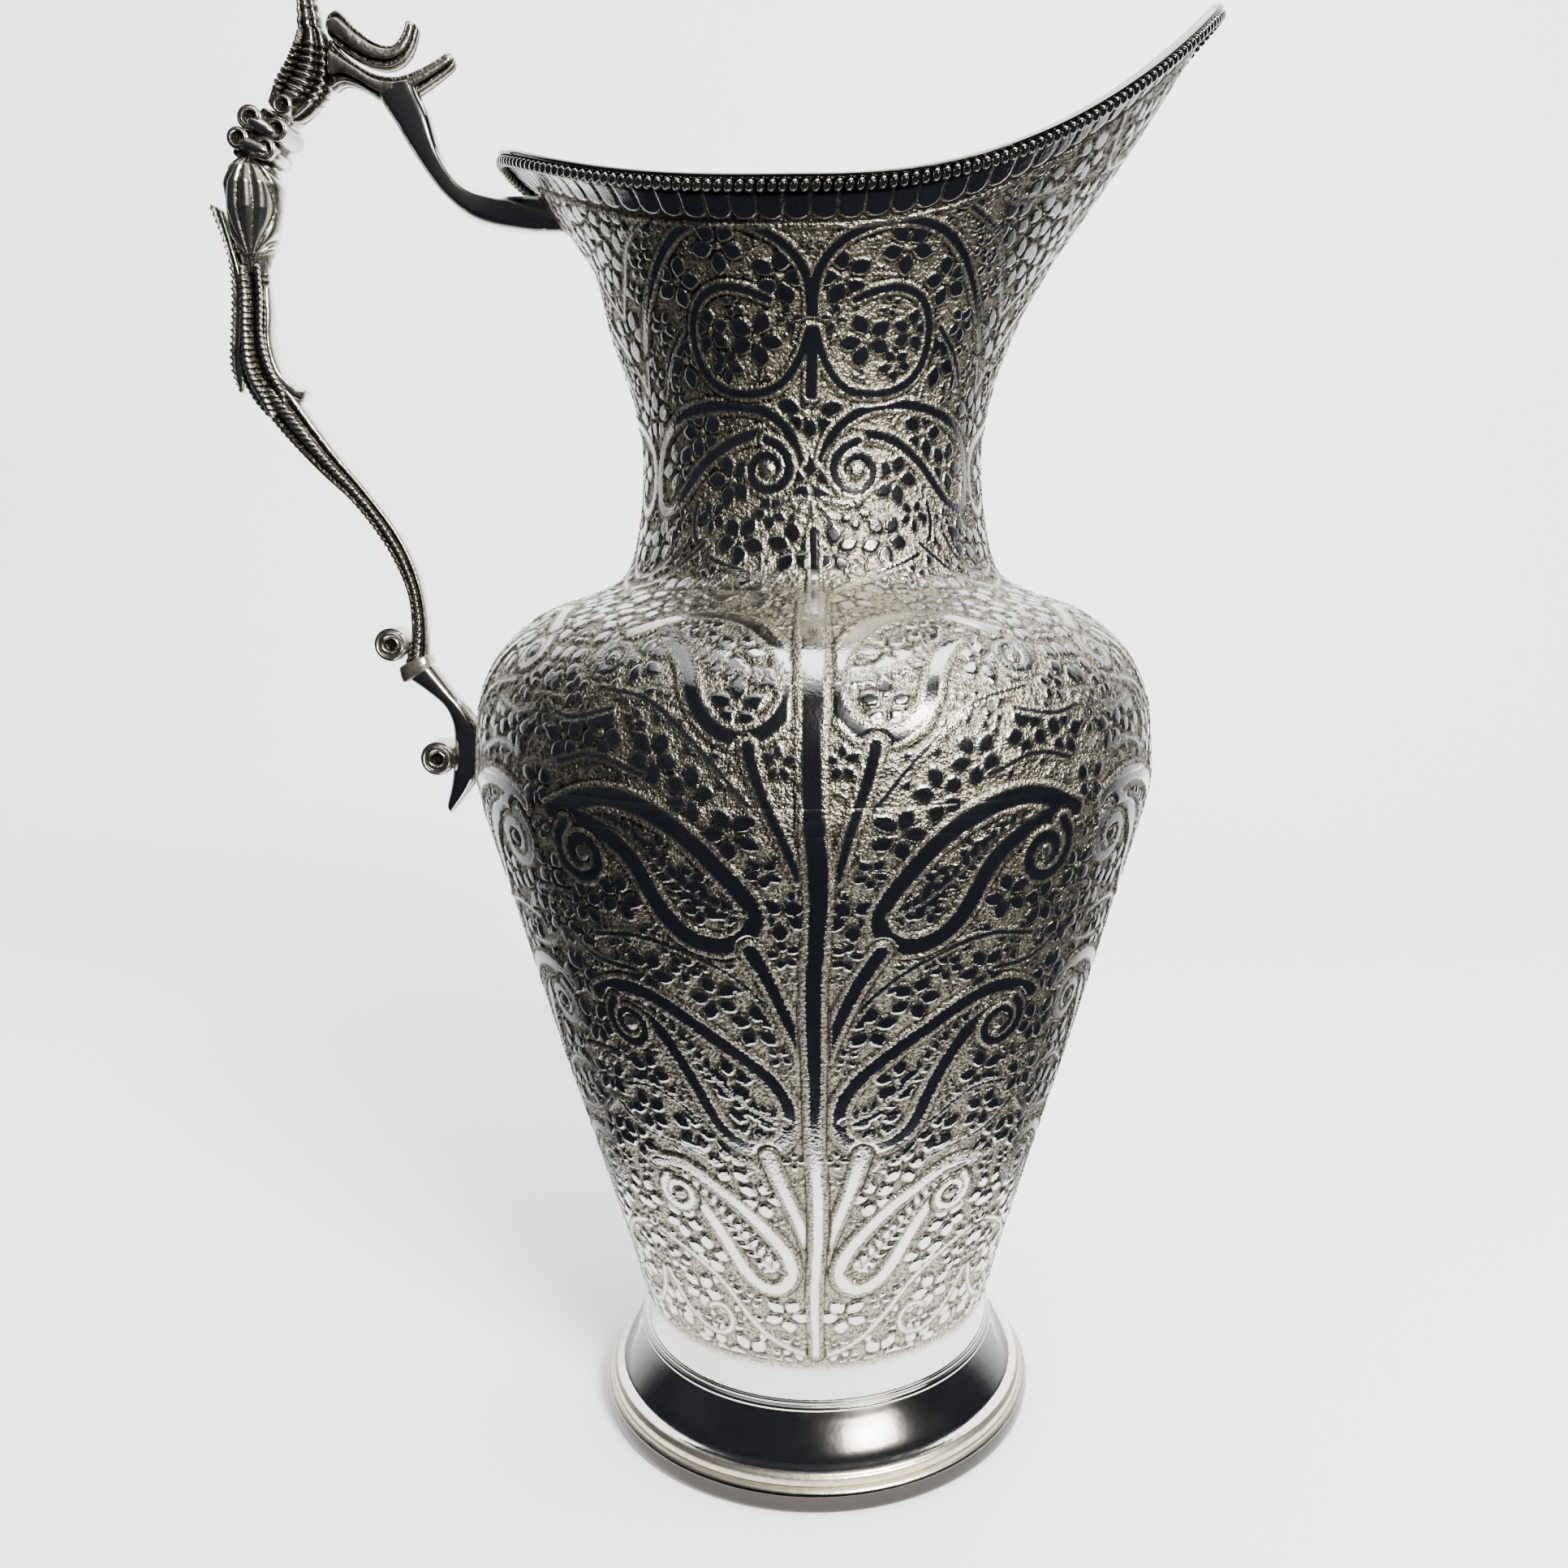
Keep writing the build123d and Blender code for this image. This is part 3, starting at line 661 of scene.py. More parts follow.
def chased_sheet(name, low, high, rows, node):
    """Outside of the body between two lengths up the profile, with the chasing raised on it."""
    share = np.linspace(0, 1, rows)[:, None]
    length = low + (high - low) * share + 0 * turns
    turn = turns[None] + 0 * share
    height, polish, deep = sample(belly, 90, turn, length)
    neck_height, neck_polish, neck_deep = sample(mouth, 120, turn, length)
    change = ease((length - along(187.5)) / 1.5 + 0.5)
    height = height + (neck_height - height) * change
    polish = polish + (neck_polish - polish) * change
    deep = deep + (neck_deep - deep) * change
    # Plain polished foot of the lower shell, then two fine lines that mark the joined hoop.
    plain = ease((along(27) - length) / 4.0 + 0.5)
    height, polish, deep = height * (1 - plain), polish + (1 - polish) * plain, deep * (1 - plain)
    for at in (HOOP_FOOT, HOOP_TOP):
        height = height - 0.12 * ease(1 - np.abs(length - along(at)) / 0.35)
    # Tongues under the rim, with a fine line below them.
    below = rim_length[None] - length
    count = rim_gone[:-1][None] / rim_gone[-1] * TONGUES
    across = np.abs((count % 1) - 0.5) * 2
    tongue = ease((1 - across ** 2.2 - np.clip((below - 5.2) / 1.6, 0, 1) ** 2) / 0.35)
    rim_zone = ease((7.6 - below) / 0.5 + 0.5)
    height = height + (0.42 * tongue - height) * rim_zone
    polish = polish + (0.92 * tongue - polish) * rim_zone
    deep = deep + (0.8 * (1 - tongue) - deep) * rim_zone
    deep = np.maximum(deep, 0.9 * ease((2.9 - below) / 0.6))
    edge = ease(1 - np.abs(below - 8.1) / 0.7)
    height = height + (0.35 * (0.8 + 0.2 * np.cos(2 * math.pi * count * 4)) - height) * edge
    polish = polish * (1 - 0.7 * edge)
    grains = np.random.default_rng(rows + int(10 * np.mean(low))).normal(0, 0.07, height.shape)
    grains[0], grains[-1] = 0, 0
    rough = 1 - polish
    points = on_body(turn, length, height + grains * rough)
    made = make_object(name, points, [sheet_faces(rows, COLUMNS, True)], chased,
                       {"ground": rough, "tarnish_and_painted_dark": 0.95 * deep})
    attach(made, "root")
    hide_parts(node)
    return made


# Cut into rings, each small enough for one mesh.
ROWS = 118
lower_cuts = [along(z) for z in (BODY_FOOT, 62.0, 104.5, HOOP_FOOT)]
for k in range(3):
    chased_sheet(f"lower_body_{k + 1}", lower_cuts[k], lower_cuts[k + 1], ROWS, "lower_body")
hoop_low, hoop_high, neck_low, mouth_low = (along(z) for z in (HOOP_FOOT, HOOP_TOP, 190.6, 238))
chased_sheet("belly_hoop_band", hoop_low, hoop_high, 15, "belly_hoop")
chased_sheet("shoulder_sheet", hoop_high, neck_low, ROWS, "upper_body")
chased_sheet("neck_sheet", neck_low, mouth_low, ROWS, "upper_body")
chased_sheet("mouth_sheet", mouth_low, rim_length[None], ROWS, "upper_body")

# ---- Inside -----------------------------------------------------------------------
# The same two shells seen from within: plain spun sheet with its floor, polished once and
# now a little tarnished.

# Silver plate polished and not chased: bright, with the faint cloudiness of handling.
mirror = silver("mirror_silver_plate", "#eceae4", "#d8d0bc", 0.04, 0.34, "hollow", 2.0, 0.25, 0.0)
WALL = 1.2
inner_turns = turns[::6]
inner_share = np.linspace(0, 1, 90)[:, None]
inner_low = along(150) + (rim_length[::6][None] - along(150)) * inner_share
upper_inside = on_body(inner_turns[None] + 0 * inner_share, inner_low, -WALL)
lip_inside = make_object("mouth_inside", upper_inside, [sheet_faces(90, len(inner_turns), True)], mirror,
                         {"hollow": np.full(upper_inside.shape[:2], 0.55),
                          "tarnish_and_painted_dark": np.full(upper_inside.shape[:2], 0.72)}, inward=True)
bowl_share = np.linspace(0, 1, 60)[:, None]
bowl_length = along(19.6) + (along(150) - along(19.6)) * bowl_share + 0 * inner_turns
bowl = on_body(inner_turns[None] + 0 * bowl_share, bowl_length, -WALL)
bowl_faces = sheet_faces(60, len(inner_turns), True)
centre = np.array([[0, 0, bowl[0, :, 2].mean()]])
ring = np.arange(len(inner_turns))
hub = np.full(len(ring), bowl[..., 0].size)
base = np.stack([hub, (ring + 1) % len(ring), ring], -1)
bowl_inside = make_object("bowl_inside", np.concatenate([bowl.reshape(-1, 3), centre]),
                          [bowl_faces, base], mirror,
                          {"hollow": np.full(bowl[..., 0].size + 1, 0.7)}, inward=True)
for made, node in ((lip_inside, "upper_body"), (bowl_inside, "lower_body")):
    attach(made, "root")
    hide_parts(node)

# ---- Rim --------------------------------------------------------------------------
# A row of cast beads soldered on under the edge, and over it the edge of the sheet rolled
# into a smooth bead that turns slightly out.

outward = np.stack([np.sin(turns), -np.cos(turns), 0 * turns], -1)
upward = np.array([0.0, 0.0, 1.0])
loop = np.linspace(0, 2 * math.pi, 14, endpoint=False)[None, :, None]
roll = (rim_points[:, None] + outward[:, None] * (-0.1 + 1.2 * np.cos(loop))
        + upward * (0.45 + 0.62 * np.sin(loop)))
roll_faces = sheet_faces(COLUMNS, 14, True)
join = np.arange(14)
last = (COLUMNS - 1) * 14
seam = np.stack([last + join, last + (join + 1) % 14, (join + 1) % 14, join], -1)
rolled = make_object("rolled_rim_bead", roll, [roll_faces, seam], mirror,
                     {"hollow": np.zeros(COLUMNS * 14), "tarnish_and_painted_dark": np.full(COLUMNS * 14, 0.6)})
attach(rolled, "root")
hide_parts("rolled_rim")

BEAD_PITCH = 1.85
BEADS = int(rim_gone[-1] / BEAD_PITCH)
bead_at = (np.arange(BEADS) + 0.5) / BEADS * rim_gone[-1]
bead_turn = np.interp(bead_at, rim_gone, np.append(turns, 2 * math.pi))
bead_base = np.stack([np.interp(bead_at, rim_gone, np.append(column, column[0]))
                      for column in rim_points.T], -1)
ahead_of = np.roll(bead_base, -1, 0) - np.roll(bead_base, 1, 0)
ahead_of /= np.linalg.norm(ahead_of, axis=1, keepdims=True)
bead_out = np.stack([np.sin(bead_turn), -np.cos(bead_turn), 0 * bead_turn], -1)
bead_up = np.cross(bead_out, ahead_of)
bead_up *= np.sign(bead_up[:, 2:])
ring_angle = np.linspace(0, 2 * math.pi, 10, endpoint=False)
rise_angle = np.linspace(0, math.pi, 7)[1:-1]
ball = np.stack([np.outer(np.sin(rise_angle), np.cos(ring_angle)),
                 np.outer(np.sin(rise_angle), np.sin(ring_angle)),
                 np.outer(np.cos(rise_angle), np.ones(10))], -1).reshape(-1, 3)
ball = np.concatenate([ball, [[0, 0, 1], [0, 0, -1]]])
around = np.arange(10)
beside = (around + 1) % 10
caps = np.concatenate([np.stack([around, beside, np.full(10, 50)], -1),
                       np.stack([beside + 40, around + 40, np.full(10, 51)], -1)])
sides = sheet_faces(5, 10, True)[:, ::-1]
# Share of a bead's height by which its top leans on along the row.
lean = 0.22
bead_points = (bead_base[:, None] + bead_out[:, None] * 0.7 - bead_up[:, None] * 1.1
               + ahead_of[:, None] * (0.78 * ball[None, :, :1] + lean * ball[None, :, 2:])
               + bead_out[:, None] * 0.95 * ball[None, :, 1:2]
               + bead_up[:, None] * 1.1 * ball[None, :, 2:])
offsets = (np.arange(BEADS) * len(ball))[:, None, None]
beads = make_object("rim_bead_row", bead_points, [(sides[None] + offsets).reshape(-1, 4),
                                                  (caps[None] + offsets).reshape(-1, 3)], mirror,
                    {"hollow": np.tile(np.clip(0.45 - 0.8 * ball[:, 1], 0, 1), BEADS),
                     "tarnish_and_painted_dark": np.tile(np.clip(0.6 - 1.2 * ball[:, 1], 0, 0.9), BEADS)})
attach(beads, "root")
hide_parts("rim_beading")

# ---- Foot -------------------------------------------------------------------------
# A spun hollow foot, polished like a mirror, soldered under the body. Its edge is a rolled
# ring with a narrow flat flange above it.


def spun(name, outline, closed, node, material, cols=240, dull=0.0, darkening=0.0):
    """Outline of (radius, height) points spun about the axis, closed round when it is a loop."""
    side = np.asarray(outline, float)
    turn = np.linspace(0, 2 * math.pi, cols, endpoint=False)
    away, tall = side[:, :1], side[:, 1:]
    points = np.stack([away * np.sin(turn), -away * np.cos(turn), tall + 0 * turn], -1)
    faces = [sheet_faces(len(side), cols, True)]
    if closed:
        here = np.arange(cols)
        final = (len(side) - 1) * cols
        faces.append(np.stack([final + here, final + (here + 1) % cols, (here + 1) % cols, here], -1))
    made = make_object(name, points, faces, material,
                       {"hollow": np.reshape(dull, (-1, 1)) + 0 * points[..., 0],
                        "tarnish_and_painted_dark": np.reshape(darkening, (-1, 1)) + 0 * points[..., 0]})
    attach(made, "root")
    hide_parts(node)
    return made


dome_out = curve([(48.5, 5.6), (48.1, 7.0), (47.5, 7.6), (47.2, 8.4), (46.4, 10.6), (44.6, 13.2),
                  (42.4, 15.9), (41.0, 17.4), (40.2, 18.35)], 60)
dome_in = curve([(39.0, 17.2), (41.2, 15.4), (44.2, 12.0), (46.0, 9.0), (47.2, 5.6)], 20)
seat = np.array([(34.0, 18.35), (34.0, 17.25)])
dome_side = np.concatenate([dome_out, seat, dome_in])
spun("foot_dome_shell", dome_side, True, "foot_dome", mirror,
     dull=0.95 * ease((8.3 - dome_side[:, 1]) / 0.8) + 0.1)
RING_RADIUS, _, RING_TOP = corners("foot_ring")[1]
RING_HALF = 1.75
ring_turn = np.linspace(0, 2 * math.pi, 28, endpoint=False)
ring_cos = np.sign(np.cos(ring_turn)) * np.abs(np.cos(ring_turn)) ** 0.7
ring_sin = np.sign(np.sin(ring_turn)) * np.abs(np.sin(ring_turn)) ** 0.75
ring_side = np.stack([RING_RADIUS + RING_HALF * (ring_cos - 1), RING_TOP / 2 * (1 + ring_sin)], -1)
# Painted dark reflection: the lower roll of the ring, under about 5 mm high, is darkened nearly black in
# its colour; above it the flange is dull.
spun("foot_ring_roll", ring_side, True, "foot_ring", mirror,
     dull=ease((ring_side[:, 1] - 4.4) / 0.7), darkening=0.94 * ease((5.0 - ring_side[:, 1]) / 0.6))
joint = curve([(39.7, 19.4), (40.35, 19.3), (40.55, 18.9), (40.45, 18.55), (40.95, 18.2), (41.15, 17.7),
               (40.9, 17.2), (40.0, 17.0)], 24)
spun("foot_joint_solder", joint, True, "foot_solder", mirror, dull=0.1)

# ---- Handle -----------------------------------------------------------------------
# Cast in sections and brazed end to end: a smooth arm from the mouth, leaf sprigs and a
# fluted crown at the bend, a carved grip, a ridged stem and a smooth bracket on the belly.

# Silver-plated brass casting: polished on the crests, dark and rough down in the carving.
casting = silver("cast_silver_plate", "#e6e3d8", "#3b3831", 0.16, 0.4, "hollow", 0.8, 0.7, 0.75)
# Hard solder, plated over: grey and slightly dull.
solder = silver("plated_solder", "#bcb7aa", "#8f897b", 0.3, 0.5, "hollow", 1.2, 0.6, 0.4)


def cast(name, outer, inner, width, carve, node, material=casting, rows=150,
         cols=56, square=0.7, end=1.2):
    """Bar between two drawn edges: superellipse rings across it, carved in or out, ends rounded."""
    outer, inner = curve(outer, rows), curve(inner, rows)
    middle, half = (outer + inner) / 2, (outer - inner) / 2
    deep = np.linalg.norm(half, axis=1)
    away = half / deep[:, None]
    gone = np.concatenate([[0], np.cumsum(np.linalg.norm(np.diff(middle, axis=0), axis=1))])
    ends = np.clip(np.minimum(gone, gone[-1] - gone) / end, 0, 1)
    closing = np.sqrt(1 - (1 - ends) ** 2)[:, None]
    closing[0], closing[-1] = 0.02, 0.02
    turn = np.linspace(0, 2 * math.pi, cols, endpoint=False)[None]
    c = np.sign(np.cos(turn)) * np.abs(np.cos(turn)) ** square
    s = np.sign(np.sin(turn)) * np.abs(np.sin(turn)) ** square
    wide = np.interp(gone / gone[-1], np.linspace(0, 1, len(np.atleast_1d(width))),
                     np.atleast_1d(width))[:, None] / 2
    carved = carve(gone[:, None] + 0 * turn, gone[:, None] / gone[-1] + 0 * turn,
                   turn + 0 * gone[:, None]) * closing
    size = np.hypot(c, s)
    plane = (deep[:, None] * closing * c + carved * c / size)
    side = wide * closing * s + carved * s / size
    spot = middle[:, None] + away[:, None] * plane[..., None]
    points = np.stack([-spot[..., 0], side, spot[..., 1]], -1)
    tips = np.stack([points[0].mean(0), points[-1].mean(0)])
    here = np.arange(cols)
    near = np.stack([np.full(cols, rows * cols), (here + 1) % cols, here], -1)
    far = np.stack([np.full(cols, rows * cols + 1), here + (rows - 1) * cols,
                    (here + 1) % cols + (rows - 1) * cols], -1)
    dull = np.clip(-carved / 0.45, 0, 1)
    marks = np.append(dull.ravel(), [0, 0])
    made = make_object(name, np.concatenate([points.reshape(-1, 3), tips]),
                       [sheet_faces(rows, cols, True), near, far], material, {"hollow": marks})
    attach(made, "root")
    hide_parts(node)
    return made


def smooth_skin(gone, share, turn):
    """Hardly any relief: faces fuller than the edges, by the cosine of twice the turn."""
    return 0.12 * np.cos(2 * turn) + 0 * gone


def leaf_skin(gone, share, turn):
    """Deep grooves on both sides of a middle rib, and a shallower one along each edge."""
    face = np.abs(np.sin(turn))
    return -1.1 * np.exp(-((face - 0.78) / 0.15) ** 2) - 0.55 * np.exp(-((face - 0.25) / 0.15) ** 2)


def flute_skin(gone, share, turn):
    """Flutes that run along the piece, milled across in the middle of its length."""
    milled = ease((share - 0.2) / 0.1) * ease((0.85 - share) / 0.1)
    return -0.5 + 0.42 * np.cos(8 * turn + 1.4 * share) + 0.3 * milled * np.cos(2 * math.pi * gone / 1.5)


def stalk_skin(gone, share, turn):
    """Eight flutes that twist along the stalk, with faint rings across them."""
    return -0.3 + 0.35 * np.cos(8 * turn + 3 * share) + 0.12 * np.cos(2 * math.pi * gone / 2.2)


def knuckle_skin(gone, share, turn):
    """Round knuckles with deep creases between them and a fold down each side."""
    return (0.55 * np.cos(2 * math.pi * (gone / 4.4 + 0.08 * np.cos(turn)))
            - 0.6 * np.exp(-((np.abs(np.sin(turn)) - 0.75) / 0.14) ** 2) - 0.2)


def milled_skin(gone, share, turn):
    """Fine notches across the outer edge and a plain groove beside them."""
    outer_edge = ease((np.cos(turn) - 0.2) / 0.3)
    notches = -0.2 + 0.28 * np.cos(2 * math.pi * gone / 1.35)
    return outer_edge * notches - 0.35 * np.exp(-(np.cos(turn) / 0.25) ** 2)


def reed_skin(gone, share, turn):
    """Broad reeds that sway as they run down the grip, punched with small dots."""
    return -0.42 + 0.5 * np.cos(6 * turn + 1.6 * share) + 0.12 * np.cos(2 * math.pi * gone / 1.25)


def stem_skin(gone, share, turn):
    """Dotted ridge along each face between two hollows, with fine cross cuts on the outer edge."""
    outer_side = ease(np.cos(turn) / 0.3)
    hollows = -0.85 * np.exp(-((np.abs(np.cos(turn)) - 0.42) / 0.24) ** 2)
    cuts = 0.16 * outer_side * np.cos(2 * math.pi * (gone / 1.3 + 0.6 * np.cos(turn)))
    dots = 0.2 * np.exp(-(np.cos(turn) / 0.2) ** 2) * np.cos(2 * math.pi * gone / 1.35)
    return hollows + dots + cuts * (0.5 + 0.5 * np.sin(gone / 5))


cast("handle_arm_bar", [(54.6, 266.9), (60, 266.9), (65, 267.2), (71.2, 269.4), (75.2, 275),
                        (77.4, 282.5), (79.2, 286.7), (80.2, 289.4)],
     [(50.3, 259.9), (58, 260.1), (68.2, 262.1), (75, 267), (80.6, 274.5), (84.4, 281), (86.8, 284.8),
      (88, 288)],
     [6.4, 7.2, 8.0, 7.6, 7.0], smooth_skin, "handle_arm", mirror, square=0.6, end=0.6)
cast("lower_leaf_sprig", [(97.2, 298.4), (94.2, 294.4), (89, 290.9), (84, 289.9), (79.4, 291.2),
                          (74.9, 293.6), (73.0, 295.2)],
     [(98, 286.4), (94.5, 288.4), (90.6, 287.4), (86.4, 285), (82.6, 285.2), (79, 287.0), (74.0, 290.2),
      (71.4, 292.4)], [7.6, 7.6, 7.2, 6.0, 4.2], leaf_skin, "lower_leaf", end=1.3)
cast("upper_leaf_sprig", [(97.6, 300.6), (94.8, 302.4), (91.8, 299.6), (88, 296.6), (84.4, 295.8),
                          (82.2, 298.2), (81.4, 301.2)],
     [(97.4, 297.6), (93.4, 294), (88.4, 291.6), (84, 291.6), (80.6, 294.4), (78.6, 299.6)],
     [7.2, 7.6, 6.8, 5.6, 4.0], leaf_skin, "upper_leaf", end=1.3)
cast("crown_fan", [(110.6, 284.3), (108.8, 289.2), (105.6, 293.8), (103.3, 299)],
     [(104.7, 281), (101.6, 282.9), (98.2, 286.2), (97, 290), (97, 295), (98.3, 299.8)],
     [7.6, 8.6, 8.6, 7.0], flute_skin, "handle_crown", cols=96)
cast("finial_stalk", [(103.3, 298), (103.1, 304), (104.4, 309.5), (108.2, 314.2), (112.6, 315.6)],
     [(98.3, 298.8), (99.4, 304.5), (100.6, 310.5), (104.6, 316.2), (112.2, 318.2)],
     [6.4, 6.2, 5.0, 3.0], stalk_skin, "handle_finial", end=0.9)
cast("collar_knuckles", [(110.6, 284.6), (114.9, 281.9), (116.5, 278.4), (119.4, 275)],
     [(104.5, 281), (106.4, 277.6), (107.6, 274.9), (109.2, 272)], [8.6, 10.4, 10.4, 9.0], knuckle_skin,
     "grip_collar", cols=80)
cast("grip_strip_milled", [(124.6, 266.4), (122.9, 262), (121, 256), (120.6, 250), (121.4, 241),
                           (122.2, 234), (121.0, 228.4)],
     [(121.2, 264.9), (119.6, 259.6), (118.2, 254), (117.6, 250), (118.2, 241), (119.3, 234),
      (119.9, 228)],
     [2.6, 5.2, 5.2, 5.2, 2.4], milled_skin, "grip_strip", rows=260, end=0.7)
cast("grip_lobe_reeds", [(119, 254.4), (119, 247), (119.4, 240), (119.9, 233), (118, 227.4),
                         (114.4, 222.6)],
     [(112.9, 254.4), (112.8, 247), (113.3, 239.5), (112.2, 233.6), (109.8, 227.4), (111.2, 222.4)],
     [6.6, 7.8, 8.4, 8.0, 5.4], reed_skin, "grip_lobe", cols=96)
cast("lobe_inner_leaf", [(114.6, 250), (114.4, 244), (114.6, 238), (113.4, 232), (110.6, 228.2),
                         (107.4, 226.4), (106.2, 228.4)],
     [(112.8, 250), (112.4, 244), (112.6, 238.6), (111.4, 233), (108.6, 229.6), (107.2, 228.6),
      (106.6, 229.2)],
     [3.0, 4.6, 5.4, 5.8, 5.6, 5.0, 4.4], smooth_skin, "grip_lobe", end=0.6)
cast("stem_bar", [(119.4, 229.4), (111.7, 219.3), (104.9, 211.8), (98.7, 205.8), (93.7, 199.2),
                  (90.1, 192.8), (87.7, 186), (87.2, 179.5), (87.9, 174.6), (89.9, 168.6)],
     [(110.2, 229.8), (101.9, 217.2), (95.8, 209.2), (89.6, 200.5), (86, 193.2), (84.1, 186),
      (83.4, 178.6), (83.5, 172)], [6.2, 5.4, 4.8, 4.6, 5.0, 6.2], stem_skin, "handle_stem", rows=320,
      cols=64)
cast("braze_block", [(90.2, 170.6), (89.9, 168.4), (89.2, 166.6)],
     [(83.8, 173.4), (83.3, 171.8), (82.8, 169.8)],
     [7.4, 8.0, 7.6], smooth_skin, "handle_braze", solder, rows=24, square=0.6, end=0.5)
cast("bracket_bar", [(89.6, 168.6), (84.9, 165.4), (81, 162), (79.3, 158), (79.2, 153), (80.1, 145),
                     (81.7, 138.9)],
     [(83.3, 171.6), (79.4, 166.4), (75.4, 161), (72.6, 155.4), (72.4, 149.6), (75.6, 143.4),
      (80.9, 137.4)],
     [7.6, 8.0, 8.0, 7.0, 3.0], smooth_skin, "lower_bracket", mirror, square=0.8,
     end=0.8)

# Carved bulb of the grip: an almond with a pointed flame on each face, ridge within ridge.
BULB_TOP, BULB_FOOT = np.array([114.2, 0, 275.4]), np.array([115.6, 0, 251.0])
BULB_ROWS, BULB_COLS = 110, 120
bulb_share = np.linspace(0, 1, BULB_ROWS)[:, None]
bulb_turn = np.linspace(0, 2 * math.pi, BULB_COLS, endpoint=False)[None]
bulb_radius = np.interp(bulb_share, [0, 0.04, 0.12, 0.25, 0.45, 0.6, 0.75, 0.9, 1.0],
                        [0.1, 3.4, 5.0, 6.1, 6.0, 5.1, 4.0, 3.0, 2.2])
bulb_rise = np.clip((bulb_share - 0.02) / 0.82, 0, 1)
bulb_flame = np.abs(np.cos(bulb_turn)) / (0.12 + np.sin(math.pi * bulb_rise) ** 0.8)
bulb_carve = -0.75 + 0.85 * np.abs(np.cos(1.9 * math.pi * np.minimum(bulb_flame, 2.4))) ** 0.7
bulb_size = bulb_radius * (1 + bulb_carve * 0.2)
bulb_axis = (BULB_FOOT - BULB_TOP) / np.linalg.norm(BULB_FOOT - BULB_TOP)
bulb_cross = np.array([bulb_axis[2], 0, -bulb_axis[0]])
bulb_spot = (BULB_TOP + (BULB_FOOT - BULB_TOP) * bulb_share[..., None]
             + bulb_size[..., None] * (np.cos(bulb_turn)[..., None] * bulb_cross
                                       + np.sin(bulb_turn)[..., None] * np.array([0, 1.0, 0])))
bulb_spot[..., 0] *= -1
bulb_ends = np.stack([bulb_spot[0].mean(0), bulb_spot[-1].mean(0)])
here = np.arange(BULB_COLS)
beside = (here + 1) % BULB_COLS
last = (BULB_ROWS - 1) * BULB_COLS
near = np.stack([np.full(BULB_COLS, last + BULB_COLS), here, beside], -1)
far = np.stack([np.full(BULB_COLS, last + BULB_COLS + 1), beside + last, here + last], -1)
bulb_dull = np.clip(-1.6 * bulb_carve - 0.15, 0, 1) + 0 * bulb_share
bulb = make_object("grip_bulb_gadroons", np.concatenate([bulb_spot.reshape(-1, 3), bulb_ends]),
                   [sheet_faces(BULB_ROWS, BULB_COLS, True)[:, ::-1], near, far], casting,
                   {"hollow": np.append(bulb_dull, [0, 0])})
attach(bulb, "root")
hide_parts("grip_bulb")


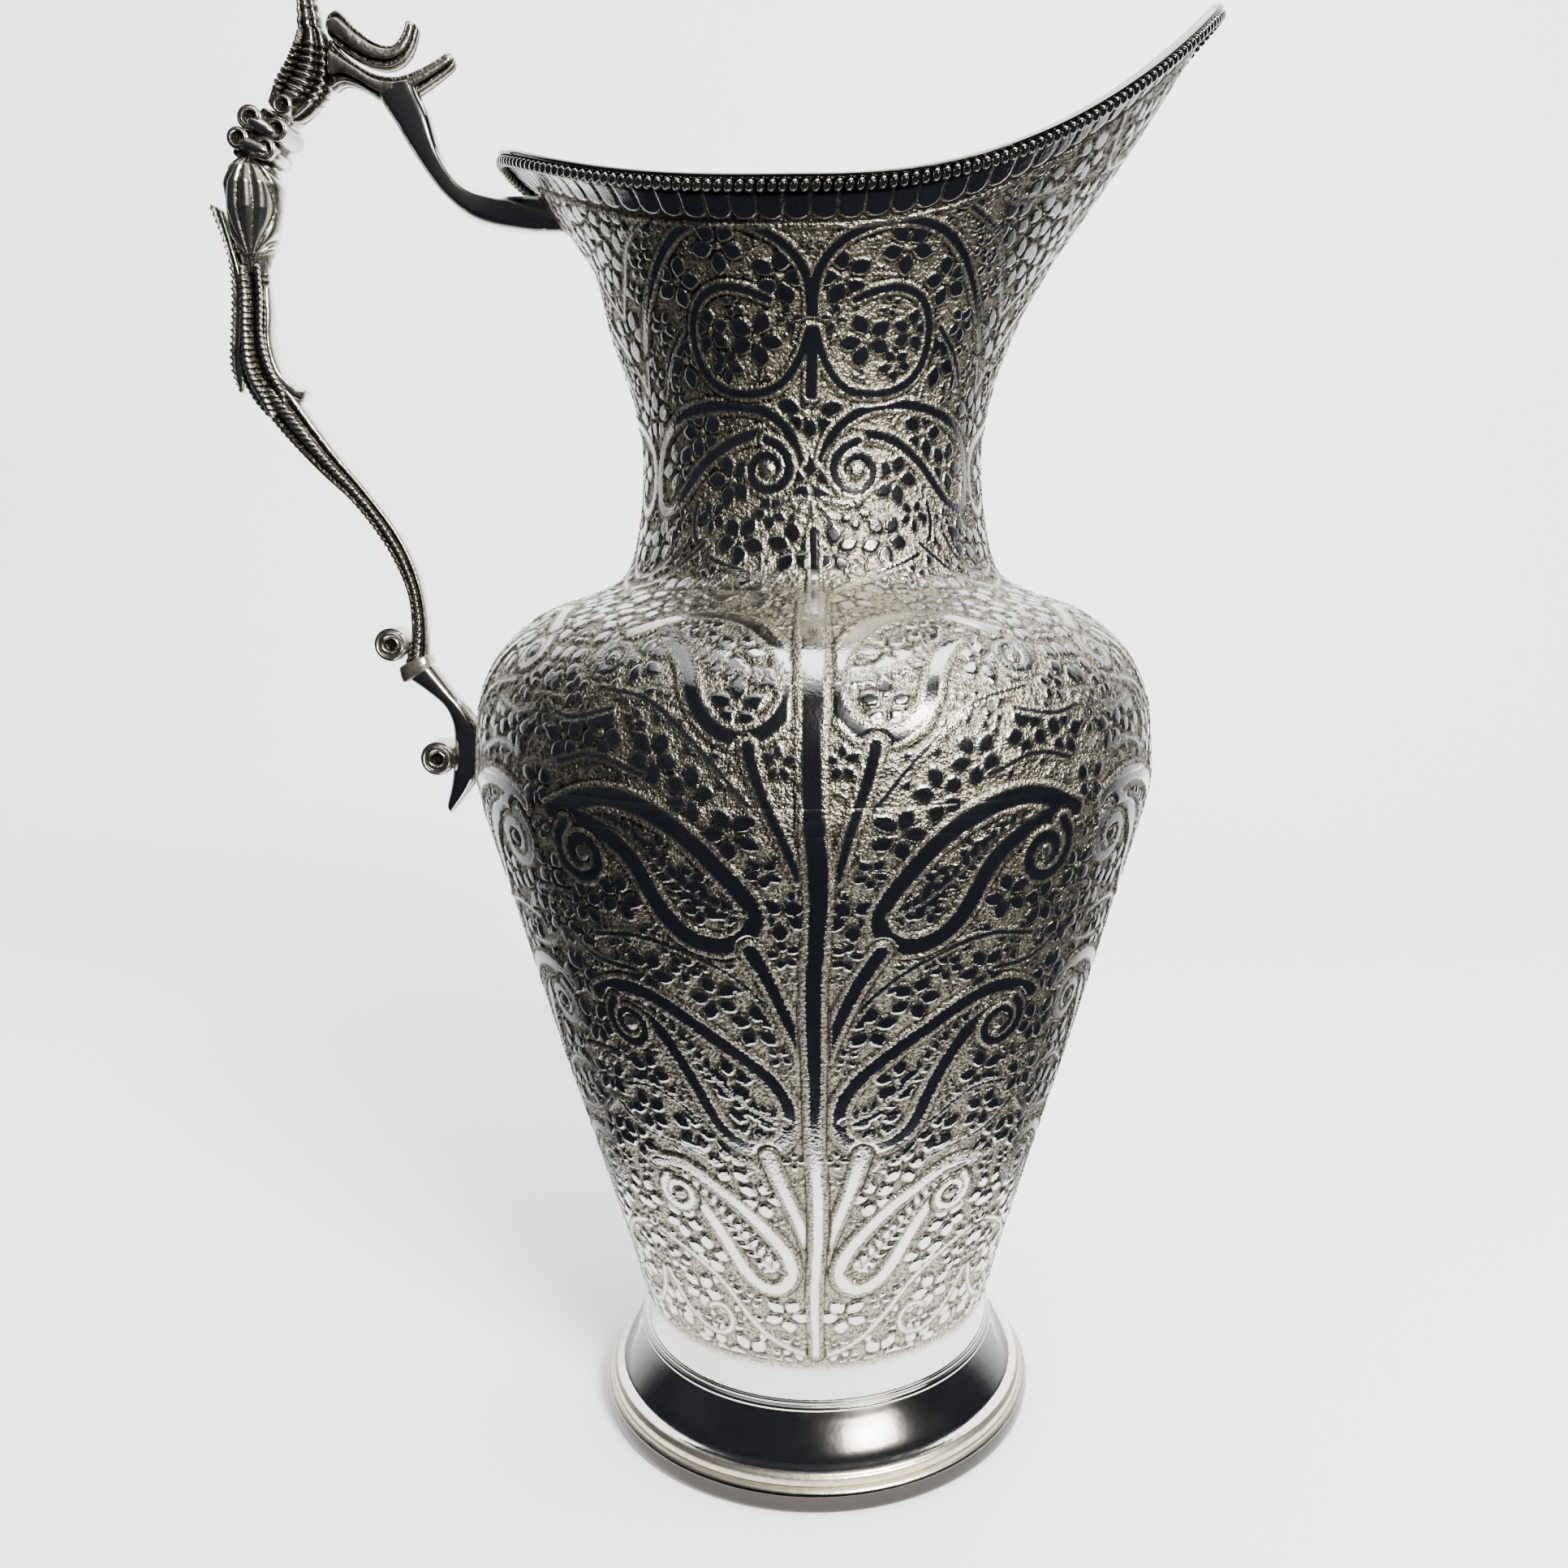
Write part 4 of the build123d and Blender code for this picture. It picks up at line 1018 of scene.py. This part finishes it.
def curl(name, centre, size, width, node, material, cols=90):
    """Scroll end: a round roll whose two faces carry a spiral groove round a sunk eye."""
    bend = np.linspace(0, math.pi / 2, 8)
    side = [(t, width / 2) for t in np.linspace(0.02, size - 0.9, 30)]
    corner = [(size - 0.9 + 0.9 * math.sin(b), width / 2 - 0.9 + 0.9 * math.cos(b)) for b in bend]
    half = side + corner
    outline = np.array(half + [(a, -b) for a, b in half[::-1]])
    turn = np.linspace(0, 2 * math.pi, cols, endpoint=False)[None]
    away, level = outline[:, :1], outline[:, 1:]
    spiral = np.cos(2 * math.pi * away / (size * 0.5) - turn)
    groove = spiral * ease((away - 1.2) / 0.8) * ease((size - away) / 0.8)
    eye = -1.0 * ease((1.5 - away) / 0.5)
    relief = 0.35 * groove + eye - 0.2
    level = np.sign(level) * (np.abs(level) + relief * (np.abs(level) > width / 2 - 0.5))
    points = np.stack([-(centre[0] + away * np.cos(turn)), level + 0 * turn,
                       centre[1] + away * np.sin(turn)], -1)
    rows = len(outline)
    ends = np.stack([points[0].mean(0), points[-1].mean(0)])
    here = np.arange(cols)
    near = np.stack([np.full(cols, rows * cols), (here + 1) % cols, here], -1)
    far = np.stack([np.full(cols, rows * cols + 1), here + (rows - 1) * cols,
                    (here + 1) % cols + (rows - 1) * cols], -1)
    made = make_object(name, np.concatenate([points.reshape(-1, 3), ends]),
                       [sheet_faces(rows, cols, True), near, far],
                       material, {"hollow": np.append(np.clip(-relief * 1.1 + 0 * turn, 0, 1), [1, 1])})
    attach(made, "root")
    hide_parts(node)


KNOTS = (((112.9, 281.4), 2.5), ((107.7, 279.2), 2.3), ((115.6, 277.6), 2.2), ((110.4, 275.6), 2.3),
         ((106.2, 283.8), 2.0))
for number, (spot, size) in enumerate(KNOTS, 1):
    curl(f"collar_knot_{number}", spot, size, 10.6, "grip_collar", casting)
curl("stem_curl_scroll", (91.3, 175.3), 3.6, 7.4, "stem_curl", casting)
curl("bracket_curl_scroll", (82.4, 150.4), 3.7, 8.6, "bracket_curl", casting)

# ---- Solder -----------------------------------------------------------------------
# Mounds of hard solder where the arm meets the mouth and the bracket lies on the belly,
# run on by hand and smoothed a little.


def patch(name, height, tall, wide, node):
    """Low mound of solder on the sheet: a rounded oval, raised most at its middle."""
    rows, cols = 12, 40
    ring = np.linspace(0, 2 * math.pi, cols, endpoint=False)[None]
    out = np.linspace(0.02, 1, rows)[:, None]
    c = np.sign(np.cos(ring)) * np.abs(np.cos(ring)) ** 0.7
    s = np.sign(np.sin(ring)) * np.abs(np.sin(ring)) ** 0.7
    length = along(height) + out * tall / 2 * s
    turn = -math.pi / 2 + out * wide / 2 * c / radius(along(height))
    points = on_body(turn, length, 1.3 * np.sqrt(np.clip(1 - out ** 3, 0, 1)) - 0.3 + 0 * ring)
    here = np.arange(cols)
    middle = points[0].mean(0)[None]
    hub = np.stack([np.full(cols, rows * cols), (here + 1) % cols, here], -1)
    made = make_object(name, np.concatenate([points.reshape(-1, 3), middle]),
                       [sheet_faces(rows, cols, True), hub], solder,
                       {"hollow": np.full(rows * cols + 1, 0.3)})
    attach(made, "root")
    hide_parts(node)


patch("arm_solder_patch", 263.0, 8.8, 11.2, "upper_solder")
patch("bracket_solder_patch", 152.0, 12.2, 11.2, "lower_solder")
